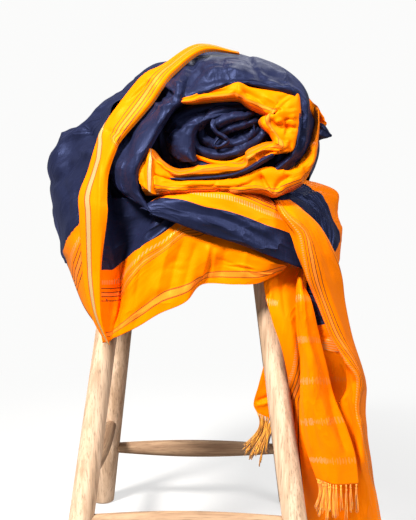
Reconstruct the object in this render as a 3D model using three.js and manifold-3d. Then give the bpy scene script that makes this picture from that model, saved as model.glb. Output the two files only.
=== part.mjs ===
// A silk saree, loosely rolled and laid across the seat of a rustic wooden stool. The cloth is
// midnight blue with a wide saffron border on both long edges and a saffron end piece, which hangs
// down the stool's right side and ends in a knotted fringe.
//
// Millimetres, +X to the right, +Y to the back, +Z up. The origin is on the floor, under the middle
// of the whole. The roll lies from front to back, with one end of its coil facing the front.
import * as THREE from "three";
import { mergeVertices } from "three/addons/utils/BufferGeometryUtils.js";
import Module from "manifold-3d";

// The stool.
const seatHeight = 620;
const seatWidth = 300;
const seatDepth = 290;
const seatThickness = 36;
const seatCorner = 32;
const legSpreadTop = 122;
const legSpreadFoot = 199;
const legTurn = THREE.MathUtils.degToRad(-1.5);
const legRadiusTop = 19;
const legRadiusFoot = 23;
const rungHeightFront = 112;
const rungHeightSide = 178;
const rungRadiusEnd = 10;
const rungRadiusMiddle = 18;

// The cloth.
const clothWall = 2;
const seam = 0.4;
const fringeWidth = 2.4;

// The tables below give each point as [x, depth, z]. The x and z are sizes on the plane of the
// roll's front, and a point that lies deeper is spread out from the sight line in proportion, so a
// section keeps the outline that it shows from the front.
const frontPlane = -170;
const eye = { x: 30, y: -1770, z: 760 };

function deepen([x, y, z]) {
  const share = (y - eye.y) / (frontPlane - eye.y);
  return new THREE.Vector3(
    eye.x + (x - eye.x) * share,
    y,
    eye.z + (z - eye.z) * share,
  );
}

const navy = new THREE.MeshStandardMaterial({
  color: 0x1b2144,
  roughness: 0.42,
  metalness: 0,
});
const saffron = new THREE.MeshStandardMaterial({
  color: 0xf79a0c,
  roughness: 0.55,
  metalness: 0,
});
const wood = new THREE.MeshStandardMaterial({
  color: 0xc6a78a,
  roughness: 0.8,
  metalness: 0,
});

const wasm = await Module();
wasm.setup();

const saree = new THREE.Group();

function add(name, geometry, material) {
  const mesh = new THREE.Mesh(geometry, material);
  mesh.name = name;
  saree.add(mesh);
  return mesh;
}

// Closed surfaces to solids and back.
function solid(geometry) {
  const bare = new THREE.BufferGeometry();
  bare.setAttribute("position", geometry.getAttribute("position"));
  bare.setIndex(geometry.getIndex());
  const merged = mergeVertices(bare, 1e-3);
  return new wasm.Manifold(
    new wasm.Mesh({
      numProp: 3,
      vertProperties: new Float32Array(merged.attributes.position.array),
      triVerts: new Uint32Array(merged.index.array),
    }),
  );
}

function geometryOf(manifold) {
  const mesh = manifold.getMesh();
  const geometry = new THREE.BufferGeometry();
  geometry.setAttribute(
    "position",
    new THREE.BufferAttribute(mesh.vertProperties.slice(), mesh.numProp),
  );
  geometry.setIndex(new THREE.BufferAttribute(mesh.triVerts.slice(), 1));
  return geometry;
}

function largest(manifold) {
  return manifold
    .decompose()
    .reduce((a, b) => (b.volume() > a.volume() ? b : a));
}

// A smooth curve's value between b and c, with a and d as their outer neighbours.
function between(a, b, c, d, t) {
  const out = new THREE.Vector3();
  for (const k of ["x", "y", "z"]) {
    const slopeB = (c[k] - a[k]) / 2;
    const slopeC = (d[k] - b[k]) / 2;
    const rise = c[k] - b[k];
    out[k] =
      b[k] +
      t * slopeB +
      t * t * (3 * rise - 2 * slopeB - slopeC) +
      t * t * t * (slopeB + slopeC - 2 * rise);
  }
  return out;
}

function alongLine(points, s) {
  const last = points.length - 1;
  const at = Math.min(Math.max(s, 0), 1) * last;
  const i = Math.min(Math.floor(at), last - 1);
  const before = points[i - 1] ?? points[i].clone().multiplyScalar(2).sub(points[i + 1]);
  const after = points[i + 2] ?? points[i + 1].clone().multiplyScalar(2).sub(points[i]);
  return between(before, points[i], points[i + 1], after, at - i);
}

// The surface through a table of sections: s runs down the rows and t along each row.
function surfaceOf(rows) {
  const sections = rows.map((row) => row.map(deepen));
  return (s, t) =>
    alongLine(
      sections.map((section) => alongLine(section, t)),
      s,
    );
}

// A closed solid between two grids of points that have the same rows and columns.
function betweenSkins(outer, inner) {
  const rows = outer.length;
  const columns = outer[0].length;
  const position = [];
  for (const skin of [outer, inner])
    for (const row of skin) for (const p of row) position.push(p.x, p.y, p.z);
  const index = [];
  const back = rows * columns;
  const at = (i, j) => i * columns + j;
  const quad = (p, q, r, t) => index.push(p, q, r, p, r, t);
  for (let i = 0; i < rows - 1; i++)
    for (let j = 0; j < columns - 1; j++) {
      quad(at(i, j), at(i + 1, j), at(i + 1, j + 1), at(i, j + 1));
      quad(
        back + at(i, j),
        back + at(i, j + 1),
        back + at(i + 1, j + 1),
        back + at(i + 1, j),
      );
    }
  const rim = [];
  for (let j = 0; j < columns - 1; j++) rim.push(at(0, j));
  for (let i = 0; i < rows - 1; i++) rim.push(at(i, columns - 1));
  for (let j = columns - 1; j > 0; j--) rim.push(at(rows - 1, j));
  for (let i = rows - 1; i > 0; i--) rim.push(at(i, 0));
  // The last row's edge is split the other way, so that it matches the next strip's first row.
  rim.forEach((p, k) => {
    const q = rim[(k + 1) % rim.length];
    if (Math.min(p, q) >= at(rows - 1, 0)) quad(q, back + q, back + p, p);
    else quad(p, q, back + q, back + p);
  });
  const geometry = new THREE.BufferGeometry();
  geometry.setAttribute(
    "position",
    new THREE.Float32BufferAttribute(position, 3),
  );
  geometry.setIndex(index);
  return geometry;
}

function normalsOf(points) {
  const lastRow = points.length - 1;
  return points.map((row, i) =>
    row.map((p, j) => {
      const down = points[Math.min(i + 1, lastRow)][j]
        .clone()
        .sub(points[Math.max(i - 1, 0)][j]);
      const over = row[Math.min(j + 1, row.length - 1)]
        .clone()
        .sub(row[Math.max(j - 1, 0)]);
      return down.cross(over).normalize();
    }),
  );
}

function offset(points, distance) {
  const normals = normalsOf(points);
  return points.map((row, i) =>
    row.map((p, j) => p.clone().addScaledVector(normals[i][j], distance)),
  );
}

// The same sheet with its four edges pushed outward.
function grown(points, distance) {
  const last = points.length - 1;
  return points.map((row, i) =>
    row.map((p, j) => {
      const out = p.clone();
      if (i === 0 || i === last) {
        const next = points[i === 0 ? 1 : last - 1][j];
        out.addScaledVector(p.clone().sub(next).normalize(), distance);
      }
      if (j === 0 || j === row.length - 1) {
        const next = row[j === 0 ? 1 : row.length - 2];
        out.addScaledVector(p.clone().sub(next).normalize(), distance);
      }
      return out;
    }),
  );
}

function wallOf(points, thickness) {
  return betweenSkins(
    offset(points, thickness / 2),
    offset(points, -thickness / 2),
  );
}

// A strip of a sheet's rows, drawn back half a seam from the strip next to it.
function stripOf(points, first, last) {
  const skins = [clothWall / 2, -clothWall / 2].map((distance) => {
    const skin = offset(points, distance);
    const strip = skin.slice(first, last + 1);
    const drawBack = (row, next) =>
      row.map((p, j) => {
        const inward = next[j].clone().sub(p).normalize();
        return p.clone().addScaledVector(inward, 0.6 * seam);
      });
    if (first > 0) strip[0] = drawBack(skin[first], skin[first + 1]);
    if (last < skin.length - 1)
      strip[strip.length - 1] = drawBack(skin[last], skin[last - 1]);
    return strip;
  });
  return betweenSkins(...skins);
}

// Folds: each row is [from, to, height, width]. From and to are shares down the rows and along
// them, and the height is in mm along the cloth's face, negative for a trough.
function folded(points, folds) {
  const normals = normalsOf(points);
  const lastRow = points.length - 1;
  return points.map((row, i) =>
    row.map((p, j) => {
      const here = new THREE.Vector2(i / lastRow, j / (row.length - 1));
      const rise = folds.reduce((sum, [from, to, height, width]) => {
        const start = new THREE.Vector2(...from);
        const run = new THREE.Vector2(...to).sub(start);
        const share = here.clone().sub(start).dot(run) / run.lengthSq();
        const near = start.clone().addScaledVector(run, THREE.MathUtils.clamp(share, 0, 1));
        const away = here.distanceTo(near) / width;
        return sum + height * Math.exp(-away * away);
      }, 0);
      return p.clone().addScaledVector(normals[i][j], rise);
    }),
  );
}

function gridOf(rows, steps, across) {
  const at = surfaceOf(rows);
  return Array.from({ length: steps + 1 }, (_, i) =>
    Array.from({ length: across + 1 }, (_, j) => at(i / steps, j / across)),
  );
}

// Every stretch of cloth is kept, so that the hidden layers can be cut clear of it.
const stretches = {};

function cloth(name, rows, material, steps, across, folds = []) {
  const points = folded(gridOf(rows, steps, across), folds);
  stretches[name] = points;
  return add(name, wallOf(points, clothWall), material);
}

// The stool: a round-cornered seat, four splayed legs and a rung between each pair.
function ringSolid(rings, sides) {
  const position = [];
  const index = [];
  for (const ring of rings)
    for (let k = 0; k < sides; k++) {
      const p = ring((k / sides) * 2 * Math.PI);
      position.push(p.x, p.y, p.z);
    }
  const last = (rings.length - 1) * sides;
  for (let i = 0; i < rings.length - 1; i++)
    for (let k = 0; k < sides; k++) {
      const a = i * sides + k;
      const b = i * sides + ((k + 1) % sides);
      index.push(a, b, b + sides, a, b + sides, a + sides);
    }
  for (let k = 1; k < sides - 1; k++) {
    index.push(0, k + 1, k);
    index.push(last, last + k, last + k + 1);
  }
  const geometry = new THREE.BufferGeometry();
  geometry.setAttribute(
    "position",
    new THREE.Float32BufferAttribute(position, 3),
  );
  geometry.setIndex(index);
  return geometry;
}

const upright = new THREE.Vector3(0, 0, 1);

function legPoint(sideX, sideY, height) {
  const share = height / (seatHeight - seatThickness);
  const spread = THREE.MathUtils.lerp(legSpreadFoot, legSpreadTop, share);
  return new THREE.Vector3(sideX * spread, sideY * spread, height).applyAxisAngle(
    upright,
    legTurn,
  );
}

function legRadius(height) {
  const share = height / (seatHeight - seatThickness);
  return THREE.MathUtils.lerp(legRadiusFoot, legRadiusTop, share);
}

function legGeometry(sideX, sideY, spare) {
  const heights = [0, 90, 200, 330, 460, seatHeight - seatThickness - seam];
  const rings = heights.map((height) => (angle) => {
    const middle = legPoint(sideX, sideY, height);
    const radius = legRadius(height) + spare;
    middle.x += radius * Math.cos(angle);
    middle.y += radius * Math.sin(angle);
    return middle;
  });
  return ringSolid(rings, 12);
}

const corners = {
  front_left: [-1, -1],
  front_right: [1, -1],
  rear_left: [-1, 1],
  rear_right: [1, 1],
};

for (const [name, [sideX, sideY]] of Object.entries(corners))
  add(`leg_${name}`, legGeometry(sideX, sideY, 0), wood);

function rung(name, from, to, height) {
  const a = legPoint(...corners[from], height);
  const b = legPoint(...corners[to], height);
  const along = b.clone().sub(a).normalize();
  const sideways = upright.clone().cross(along).normalize();
  const shares = [0, 0.18, 0.38, 0.62, 0.82, 1];
  const rings = shares.map((share) => (angle) => {
    const radius = THREE.MathUtils.lerp(
      rungRadiusEnd,
      rungRadiusMiddle,
      Math.sin(share * Math.PI),
    );
    return a
      .clone()
      .lerp(b, share)
      .addScaledVector(sideways, radius * Math.cos(angle))
      .addScaledVector(upright, radius * Math.sin(angle));
  });
  const cut = [from, to].reduce(
    (body, leg) => body.subtract(solid(legGeometry(...corners[leg], seam))),
    solid(ringSolid(rings, 8)),
  );
  add(name, geometryOf(largest(cut)), wood);
}

rung("rung_front", "front_right", "front_left", rungHeightFront);
rung("rung_rear", "rear_right", "rear_left", rungHeightFront + 10);
rung("rung_left", "front_left", "rear_left", rungHeightSide);
rung("rung_right", "front_right", "rear_right", rungHeightSide);

function seatGeometry(spare) {
  const x = seatWidth / 2 + spare;
  const y = seatDepth / 2 + spare;
  const r = seatCorner + spare;
  const outline = new THREE.Shape();
  outline.absarc(x - r, y - r, r, 0, Math.PI / 2);
  outline.absarc(r - x, y - r, r, Math.PI / 2, Math.PI);
  outline.absarc(r - x, r - y, r, Math.PI, 1.5 * Math.PI);
  outline.absarc(x - r, r - y, r, 1.5 * Math.PI, 2 * Math.PI);
  const slab = new THREE.ExtrudeGeometry(outline, {
    depth: seatThickness + 2 * spare,
    bevelEnabled: false,
    curveSegments: 4,
  });
  slab.translate(0, 0, seatHeight - seatThickness - spare);
  slab.rotateZ(legTurn);
  return slab;
}

add("seat", seatGeometry(0), wood);

// The blue cloth that lies over the roll's top, hangs down the seat's left side and falls over
// its back, with its sections from the front edge to the rear hem.
const drapeBody = [
  // tuck, tail, brow, crown, shoulder, flank, waist, hip, belly, knee, hem
  [[194, -84, 770], [197, -92, 806], [150, -100, 864], [70, -104, 898], [-20, -110, 896], [-72, -118, 866], [-106, -122, 832], [-146, -132, 774], [-170, -142, 700], [-184, -162, 600], [-150, -190, 436]],
  [[206, -50, 750], [212, -55, 798], [155, -55, 869], [70, -55, 900], [-28, -60, 888], [-84, -62, 856], [-130, -66, 808], [-172, -72, 770], [-206, -85, 695], [-205, -100, 600], [-180, -128, 485]],
  [[206, 0, 712], [229, 0, 772], [160, 0, 866], [70, 0, 902], [-30, 0, 892], [-92, 0, 862], [-150, 0, 810], [-204, 0, 784], [-231, 0, 700], [-222, 0, 630], [-204, 0, 550]],
  [[200, 70, 690], [222, 70, 758], [160, 70, 860], [70, 70, 896], [-30, 70, 884], [-94, 70, 850], [-148, 70, 800], [-194, 70, 770], [-225, 70, 695], [-222, 70, 625], [-210, 70, 560]],
  [[188, 145, 680], [205, 145, 740], [150, 140, 845], [68, 140, 880], [-25, 140, 868], [-88, 140, 834], [-140, 140, 790], [-186, 140, 758], [-215, 140, 690], [-214, 140, 630], [-208, 136, 575]],
  [[172, 196, 668], [186, 200, 718], [138, 204, 790], [65, 206, 818], [-18, 206, 806], [-78, 204, 784], [-126, 200, 752], [-168, 194, 716], [-196, 184, 668], [-204, 172, 618], [-206, 160, 568]],
  [[164, 204, 640], [178, 212, 672], [132, 220, 720], [62, 222, 738], [-16, 220, 730], [-74, 216, 716], [-120, 212, 694], [-160, 204, 668], [-190, 192, 636], [-202, 178, 600], [-205, 164, 562]],
  [[162, 206, 612], [172, 214, 636], [128, 222, 662], [62, 224, 668], [-14, 220, 664], [-72, 218, 658], [-118, 212, 646], [-156, 204, 630], [-186, 190, 608], [-200, 176, 584], [-204, 164, 556]],
  [[160, 206, 580], [168, 214, 590], [126, 222, 604], [62, 222, 606], [-12, 218, 602], [-71, 216, 600], [-115, 210, 596], [-153, 202, 588], [-183, 189, 576], [-198, 175, 564], [-202, 163, 552]],
  [[160, 204, 556], [166, 212, 558], [124, 218, 554], [62, 220, 549], [-12, 216, 548], [-70, 214, 552], [-114, 208, 553], [-151, 200, 549], [-181, 188, 547], [-196, 174, 549], [-200, 162, 548]],
];
const drapeFolds = [
  // from, to, height, width
  [[0.28, 0.72], [0.02, 0.88], 7, 0.05],
  [[0.3, 0.62], [0.06, 0.8], -8, 0.05],
  [[0.1, 0.3], [0.55, 0.42], 5, 0.05],
  [[0.62, 0.1], [1.0, 0.14], 9, 0.05],
  [[0.6, 0.3], [1.0, 0.3], -8, 0.06],
  [[0.58, 0.5], [1.0, 0.48], 9, 0.06],
  [[0.62, 0.66], [1.0, 0.68], -7, 0.05],
];
const drapeRows = 16;
const drapeBorderRow = 13;
const drape = folded(gridOf(drapeBody, drapeRows, 19), drapeFolds);
stretches.drape = drape;
add("drape_body", stripOf(drape, 0, drapeBorderRow), navy);
add("rear_border", stripOf(drape, drapeBorderRow, drapeRows), saffron);

// The saffron border along that cloth's front edge, from the top of the roll down to its tip.
const drapeBorder = [
  // left, middle, fold, turned edge
  [[77, -112, 906], [80, -116, 906], [83, -118, 904], [85, -114, 901]],
  [[12, -122, 918], [20, -130, 916], [28, -136, 909], [32, -132, 900]],
  [[-45, -126, 886], [-36, -136, 885], [-28, -146, 878], [-24, -142, 870]],
  [[-72, -134, 873], [-60, -146, 866], [-50, -156, 852], [-44, -152, 846]],
  [[-95, -132, 850], [-81, -146, 840], [-70, -159, 824], [-64, -155, 818]],
  [[-143, -142, 787], [-130, -156, 780], [-118, -170, 769], [-111, -166, 765]],
  [[-156, -150, 756], [-142, -164, 753], [-130, -177, 748], [-122, -173, 745]],
  [[-170, -158, 712], [-156, -172, 711], [-144, -182, 709], [-135, -178, 707]],
  [[-185, -166, 673], [-168, -182, 671], [-150, -192, 669], [-138, -188, 667]],
  [[-185, -174, 638], [-167, -190, 638], [-150, -198, 638], [-138, -194, 637]],
  [[-182, -178, 562], [-166, -192, 560], [-151, -198, 558], [-142, -194, 557]],
  [[-178, -184, 512], [-164, -197, 508], [-151, -202, 503], [-144, -198, 500]],
  [[-165, -192, 465], [-156, -201, 462], [-148, -205, 458], [-143, -201, 456]],
  [[-146, -198, 426], [-142, -202, 422], [-139, -204, 419], [-137, -200, 418]],
];
cloth("drape_border", drapeBorder, saffron, 26, 5);

// The roll's outer wrap, from its lower left round the top to its lower right.
const outerWrap = [
  // lining, rim, brow, shoulder
  [[-77, -150, 665], [-82, -203, 663], [-100, -181, 664], [-111, -126, 670]],
  [[-82, -150, 686], [-87, -205, 682], [-115, -181, 686], [-132, -126, 698]],
  [[-83, -150, 715], [-88, -206, 715], [-118, -181, 721], [-136, -124, 728]],
  [[-68, -150, 743], [-73, -204, 745], [-100, -179, 752], [-120, -116, 757]],
  [[-48, -150, 778], [-53, -200, 782], [-76, -175, 788], [-94, -110, 788]],
  [[-25, -150, 810], [-30, -196, 815], [-50, -171, 822], [-64, -106, 822]],
  [[-2, -148, 825], [-7, -190, 830], [-23, -165, 850], [-29, -102, 855]],
  [[34, -148, 839], [30, -187, 843], [20, -165, 876], [12, -120, 889]],
  [[80, -148, 854], [80, -186, 858], [79, -163, 884], [77, -118, 889]],
  [[126, -148, 844], [130, -186, 848], [135, -166, 870], [138, -126, 880]],
  [[165, -148, 831], [169, -187, 836], [178, -168, 847], [182, -128, 852]],
  [[175, -150, 805], [179, -189, 807], [195, -172, 810], [203, -132, 811]],
  [[174, -150, 766], [178, -191, 765], [195, -174, 770], [205, -134, 773]],
  [[163, -152, 741], [167, -193, 738], [180, -176, 737], [189, -138, 738]],
  [[141, -152, 730], [145, -194, 726], [154, -178, 720], [162, -142, 715]],
];
cloth("outer_wrap", outerWrap, navy, 26, 6);

// The saffron layer inside it, whose crumpled edge turns into the coil, clockwise from the left.
const collarWrap = [
  // root, crest, fold, edge, lining
  [[-7, -150, 810], [-10, -178, 818], [-9, -186, 819], [-9, -186, 817], [-7, -158, 809]],
  [[28, -150, 823], [25, -174, 832], [26, -184, 832], [27, -186, 827], [30, -158, 818]],
  [[77, -150, 837], [76, -172, 845], [77, -184, 843], [80, -187, 832], [82, -160, 824]],
  [[121, -150, 829], [124, -172, 838], [123, -188, 830], [120, -190, 812], [116, -160, 806]],
  [[151, -150, 820], [159, -174, 826], [146, -190, 820], [129, -192, 803], [124, -162, 798]],
  [[157, -152, 801], [165, -176, 803], [148, -192, 799], [126, -194, 789], [124, -164, 786]],
  [[156, -152, 770], [163, -178, 768], [150, -193, 772], [133, -195, 775], [130, -166, 776]],
  [[146, -154, 751], [156, -180, 744], [152, -195, 751], [144, -197, 761], [138, -168, 764]],
  [[128, -154, 744], [137, -182, 734], [137, -196, 739], [133, -198, 748], [128, -168, 754]],
  [[96, -158, 733], [100, -184, 722], [98, -198, 724], [94, -200, 732], [90, -168, 738]],
  [[50, -160, 727], [50, -186, 714], [49, -199, 712], [48, -202, 717], [48, -168, 726]],
  [[0, -160, 725], [0, -186, 712], [0, -200, 708], [0, -203, 714], [2, -166, 722]],
  [[-26, -158, 722], [-30, -184, 710], [-31, -198, 708], [-30, -202, 717], [-26, -164, 724]],
  [[-46, -156, 724], [-56, -180, 714], [-56, -193, 722], [-52, -196, 732], [-46, -162, 732]],
  [[-54, -154, 736], [-68, -176, 732], [-68, -186, 742], [-64, -190, 749], [-56, -160, 744]],
];
cloth("collar_wrap", collarWrap, saffron, 26, 7);

// The smooth blue fold on the left of the coil, from its foot up and over to the right.
const innerFold = [
  // root, crest, rim, lining
  [[-11, -130, 730], [-15, -168, 728], [8, -188, 728], [13, -150, 732]],
  [[-25, -130, 742], [-30, -166, 740], [2, -189, 740], [12, -150, 742]],
  [[-30, -130, 759], [-37, -164, 759], [0, -189, 756], [11, -150, 758]],
  [[-28, -130, 775], [-34, -160, 777], [2, -187, 776], [12, -150, 773]],
  [[-13, -130, 790], [-19, -157, 796], [12, -183, 790], [21, -150, 784]],
  [[10, -130, 802], [8, -155, 808], [33, -177, 799], [38, -150, 792]],
  [[42, -130, 808], [42, -152, 813], [57, -171, 805], [59, -148, 797]],
  [[76, -130, 808], [78, -150, 811], [83, -168, 805], [82, -148, 796]],
  [[101, -130, 796], [105, -148, 798], [103, -166, 792], [97, -146, 787]],
  [[108, -130, 777], [112, -148, 777], [108, -164, 776], [101, -146, 776]],
];
cloth("inner_fold", innerFold, navy, 16, 5);

// The heart of the coil: one and a half turns of blue cloth that wind inwards and backwards.
const coilMiddle = { x: 64, z: 770 };
const coilTurns = 1.6;
const coilRadius = { across: 50, up: 34 };
const coilSections = 19;
const innerCoil = Array.from({ length: coilSections }, (_, i) => {
  const share = i / (coilSections - 1);
  const angle = share * coilTurns * 2 * Math.PI;
  const size = 1 - 0.86 * share;
  const at = (scale, depth) => [
    coilMiddle.x + coilRadius.across * size * scale * Math.cos(angle),
    depth,
    coilMiddle.z - coilRadius.up * size * scale * Math.sin(angle),
  ];
  return [at(1.0, -128), at(1.04, -150 + 6 * share), at(0.9, -166 + 14 * share)];
});
cloth("inner_coil", innerCoil, navy, 28, 3);

// The saffron layer outside the outer wrap, down the right side and back under the roll.
const underWrap = [
  // top, rim, bottom
  [[209, -74, 822], [215, -108, 815], [216, -74, 800]],
  [[209, -76, 776], [216, -112, 772], [218, -78, 766]],
  [[203, -96, 745], [210, -134, 742], [212, -96, 732]],
  [[188, -120, 714], [196, -156, 716], [197, -118, 702]],
  [[172, -136, 700], [178, -176, 700], [178, -142, 687]],
  [[156, -150, 700], [158, -188, 686], [154, -166, 671]],
  [[136, -156, 704], [138, -194, 680], [136, -174, 669]],
  [[108, -164, 706], [112, -200, 694], [116, -182, 680]],
  [[76, -168, 699], [75, -204, 692], [76, -184, 682]],
  [[26, -170, 695], [25, -206, 689], [26, -186, 681]],
  [[-16, -170, 694], [-17, -206, 687], [-14, -186, 677]],
  [[-40, -168, 697], [-45, -203, 685], [-41, -184, 672]],
  [[-62, -164, 700], [-68, -196, 692], [-62, -180, 672]],
];
cloth("under_wrap", underWrap, saffron, 22, 4);

// The swag that leaves the roll's lower left and crosses the seat's front edge to the right, blue
// below and striped saffron above.
const frontSwag = [
  // top, upper, middle, lower, lip, under
  [[-84, -196, 650], [-80, -204, 650], [-74, -209, 648], [-68, -210, 645], [-66, -209, 641], [-68, -202, 640]],
  [[-32, -186, 668], [-32, -202, 666], [-32, -212, 655], [-31, -214, 640], [-30, -211, 629], [-30, -200, 630]],
  [[24, -188, 670], [24, -206, 667], [25, -216, 648], [25, -218, 626], [25, -213, 609], [25, -200, 612]],
  [[74, -184, 672], [74, -200, 668], [75, -210, 645], [76, -214, 616], [77, -210, 593], [78, -198, 597]],
  [[120, -176, 662], [122, -190, 657], [126, -201, 632], [129, -206, 600], [131, -203, 573], [132, -192, 578]],
  [[150, -164, 652], [154, -176, 645], [162, -188, 618], [172, -193, 584], [178, -190, 554], [178, -180, 560]],
  [[170, -154, 640], [174, -164, 632], [182, -176, 606], [190, -180, 574], [194, -177, 548], [194, -168, 553]],
];
cloth("front_swag", frontSwag, navy, 18, 9);

// The flap that hangs below the swag, with a deep fold beside the border and a waved hem.
const frontFlap = [
  // top, upper, middle, hem
  [[-128, -144, 658], [-132, -158, 590], [-138, -170, 520], [-139, -184, 436]],
  [[-96, -154, 656], [-108, -156, 590], [-122, -162, 520], [-132, -188, 425]],
  [[-50, -184, 636], [-70, -190, 590], [-92, -192, 520], [-104, -197, 434]],
  [[-16, -190, 622], [-26, -198, 588], [-44, -200, 530], [-54, -206, 465]],
  [[24, -192, 606], [18, -200, 584], [6, -202, 540], [-2, -207, 496]],
  [[52, -193, 600], [46, -196, 580], [36, -192, 550], [24, -192, 522]],
  [[90, -193, 588], [86, -198, 570], [80, -198, 546], [74, -198, 520]],
  [[130, -190, 570], [126, -194, 556], [120, -192, 540], [114, -192, 524]],
  [[164, -178, 556], [160, -178, 552], [156, -174, 546], [150, -170, 541]],
];
cloth("front_flap", frontFlap, saffron, 24, 7);

// The fold on the roll's right, blue with the saffron border beyond it, which lies over the seat's
// edge behind the end piece.
const shoulderFold = [
  // left, middle, bend, crest, back
  [[140, -130, 672], [156, -118, 680], [166, -96, 688], [170, -62, 700], [150, -10, 694]],
  [[176, -140, 646], [186, -122, 664], [202, -92, 682], [214, -60, 692], [200, -4, 686]],
  [[200, -148, 618], [216, -126, 644], [230, -92, 666], [246, -62, 676], [234, 0, 666]],
  [[222, -150, 586], [235, -128, 614], [243, -94, 640], [250, -64, 648], [242, -4, 640]],
  [[232, -146, 556], [247, -126, 584], [254, -94, 612], [258, -66, 616], [250, -8, 608]],
  [[236, -140, 505], [250, -122, 528], [257, -94, 556], [261, -68, 566], [254, -16, 560]],
];
cloth("shoulder_fold", shoulderFold, navy, 12, 10);

// The end piece's striped border, from under the roll down past the stool's right leg.
const palluBand = [
  // back, left, middle, right
  [[140, -168, 664], [146, -173, 664], [156, -171, 664], [166, -163, 665]],
  [[150, -198, 640], [158, -210, 640], [172, -202, 646], [186, -184, 650]],
  [[168, -202, 606], [180, -212, 608], [200, -204, 616], [216, -180, 622]],
  [[180, -202, 572], [189, -212, 574], [214, -202, 578], [240, -172, 582]],
  [[192, -188, 535], [197, -204, 536], [224, -196, 536], [255, -156, 538]],
  [[202, -158, 496], [209, -190, 497], [237, -186, 495], [262, -146, 490]],
  [[218, -156, 442], [237, -184, 437], [257, -180, 435], [275, -146, 432]],
  [[232, -152, 390], [267, -180, 392], [282, -176, 388], [293, -146, 378]],
  [[242, -150, 346], [284, -175, 362], [293, -170, 356], [300, -146, 346]],
  [[252, -150, 308], [274, -166, 310], [288, -168, 306], [300, -146, 296]],
  [[268, -152, 262], [280, -164, 262], [292, -164, 258], [306, -144, 252]],
  [[280, -156, 212], [288, -163, 212], [299, -162, 210], [314, -142, 206]],
  [[280, -153, 170], [291, -159, 170], [304, -157, 168], [320, -141, 166]],
  [[276, -150, 118], [291, -154, 118], [308, -152, 117], [330, -139, 116]],
];
cloth("pallu_band", palluBand, saffron, 24, 6);

// The end piece's broad panel, in front of its border, with the fringe along its foot.
const palluPanel = [
  // left, inner left, middle, right
  [[182, -146, 562], [186, -150, 563], [191, -152, 563], [196, -148, 562]],
  [[180, -168, 528], [183, -174, 530], [186, -174, 530], [189, -168, 528]],
  [[178, -184, 495], [184, -194, 496], [192, -198, 496], [204, -186, 495]],
  [[180, -186, 445], [188, -197, 445], [199, -200, 445], [217, -182, 443]],
  [[187, -188, 387], [196, -199, 388], [210, -202, 390], [231, -176, 388]],
  [[190, -190, 328], [201, -201, 328], [219, -203, 328], [247, -174, 328]],
  [[198, -190, 270], [212, -201, 270], [232, -203, 270], [268, -180, 275]],
  [[210, -190, 225], [226, -200, 224], [247, -202, 223], [284, -184, 225]],
  [[217, -190, 184], [231, -198, 178], [252, -200, 172], [291, -186, 174]],
];
cloth("pallu_panel", palluPanel, saffron, 16, 6);

// The narrow strip beside it, which crosses in front of the stool's right leg.
const palluStrip = [
  // left, middle, right
  [[124, -150, 586], [148, -148, 584], [174, -142, 580]],
  [[124, -168, 520], [148, -168, 516], [173, -160, 510]],
  [[138, -184, 462], [156, -186, 460], [170, -178, 458]],
  [[157, -188, 412], [167, -190, 412], [176, -182, 412]],
  [[172, -184, 362], [178, -182, 362], [184, -176, 362]],
  [[188, -170, 320], [193, -166, 320], [198, -160, 320]],
  [[198, -156, 245], [205, -150, 245], [212, -145, 245]],
  [[200, -146, 150], [211, -140, 148], [224, -134, 148]],
];
cloth("pallu_strip", palluStrip, saffron, 16, 5);

// The layer behind them, which hangs lowest.
const palluBack = [
  // left, middle, right
  [[168, -112, 592], [198, -112, 590], [224, -108, 588]],
  [[188, -120, 495], [222, -114, 495], [246, -104, 495]],
  [[196, -124, 362], [234, -114, 362], [266, -106, 362]],
  [[202, -126, 265], [240, -116, 265], [280, -110, 265]],
  [[205, -126, 190], [246, -116, 190], [292, -112, 190]],
  [[208, -124, 126], [252, -114, 122], [302, -110, 124]],
];
cloth("pallu_back", palluBack, saffron, 10, 6);

// The end piece's far corner, which passes behind the right leg and shows on its left.
const palluCorner = [
  // left, middle, right
  [[144, -108, 592], [156, -110, 592], [166, -108, 592]],
  [[142, -100, 495], [158, -102, 495], [176, -102, 495]],
  [[136, -96, 428], [154, -99, 428], [174, -100, 428]],
  [[126, -92, 387], [150, -97, 386], [172, -98, 385]],
  [[116, -90, 348], [144, -95, 345], [168, -96, 342]],
  [[108, -88, 317], [134, -94, 311], [160, -95, 306]],
  [[114, -90, 300], [132, -93, 292], [150, -94, 284]],
];
cloth("pallu_corner", palluCorner, saffron, 10, 5);

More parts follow.
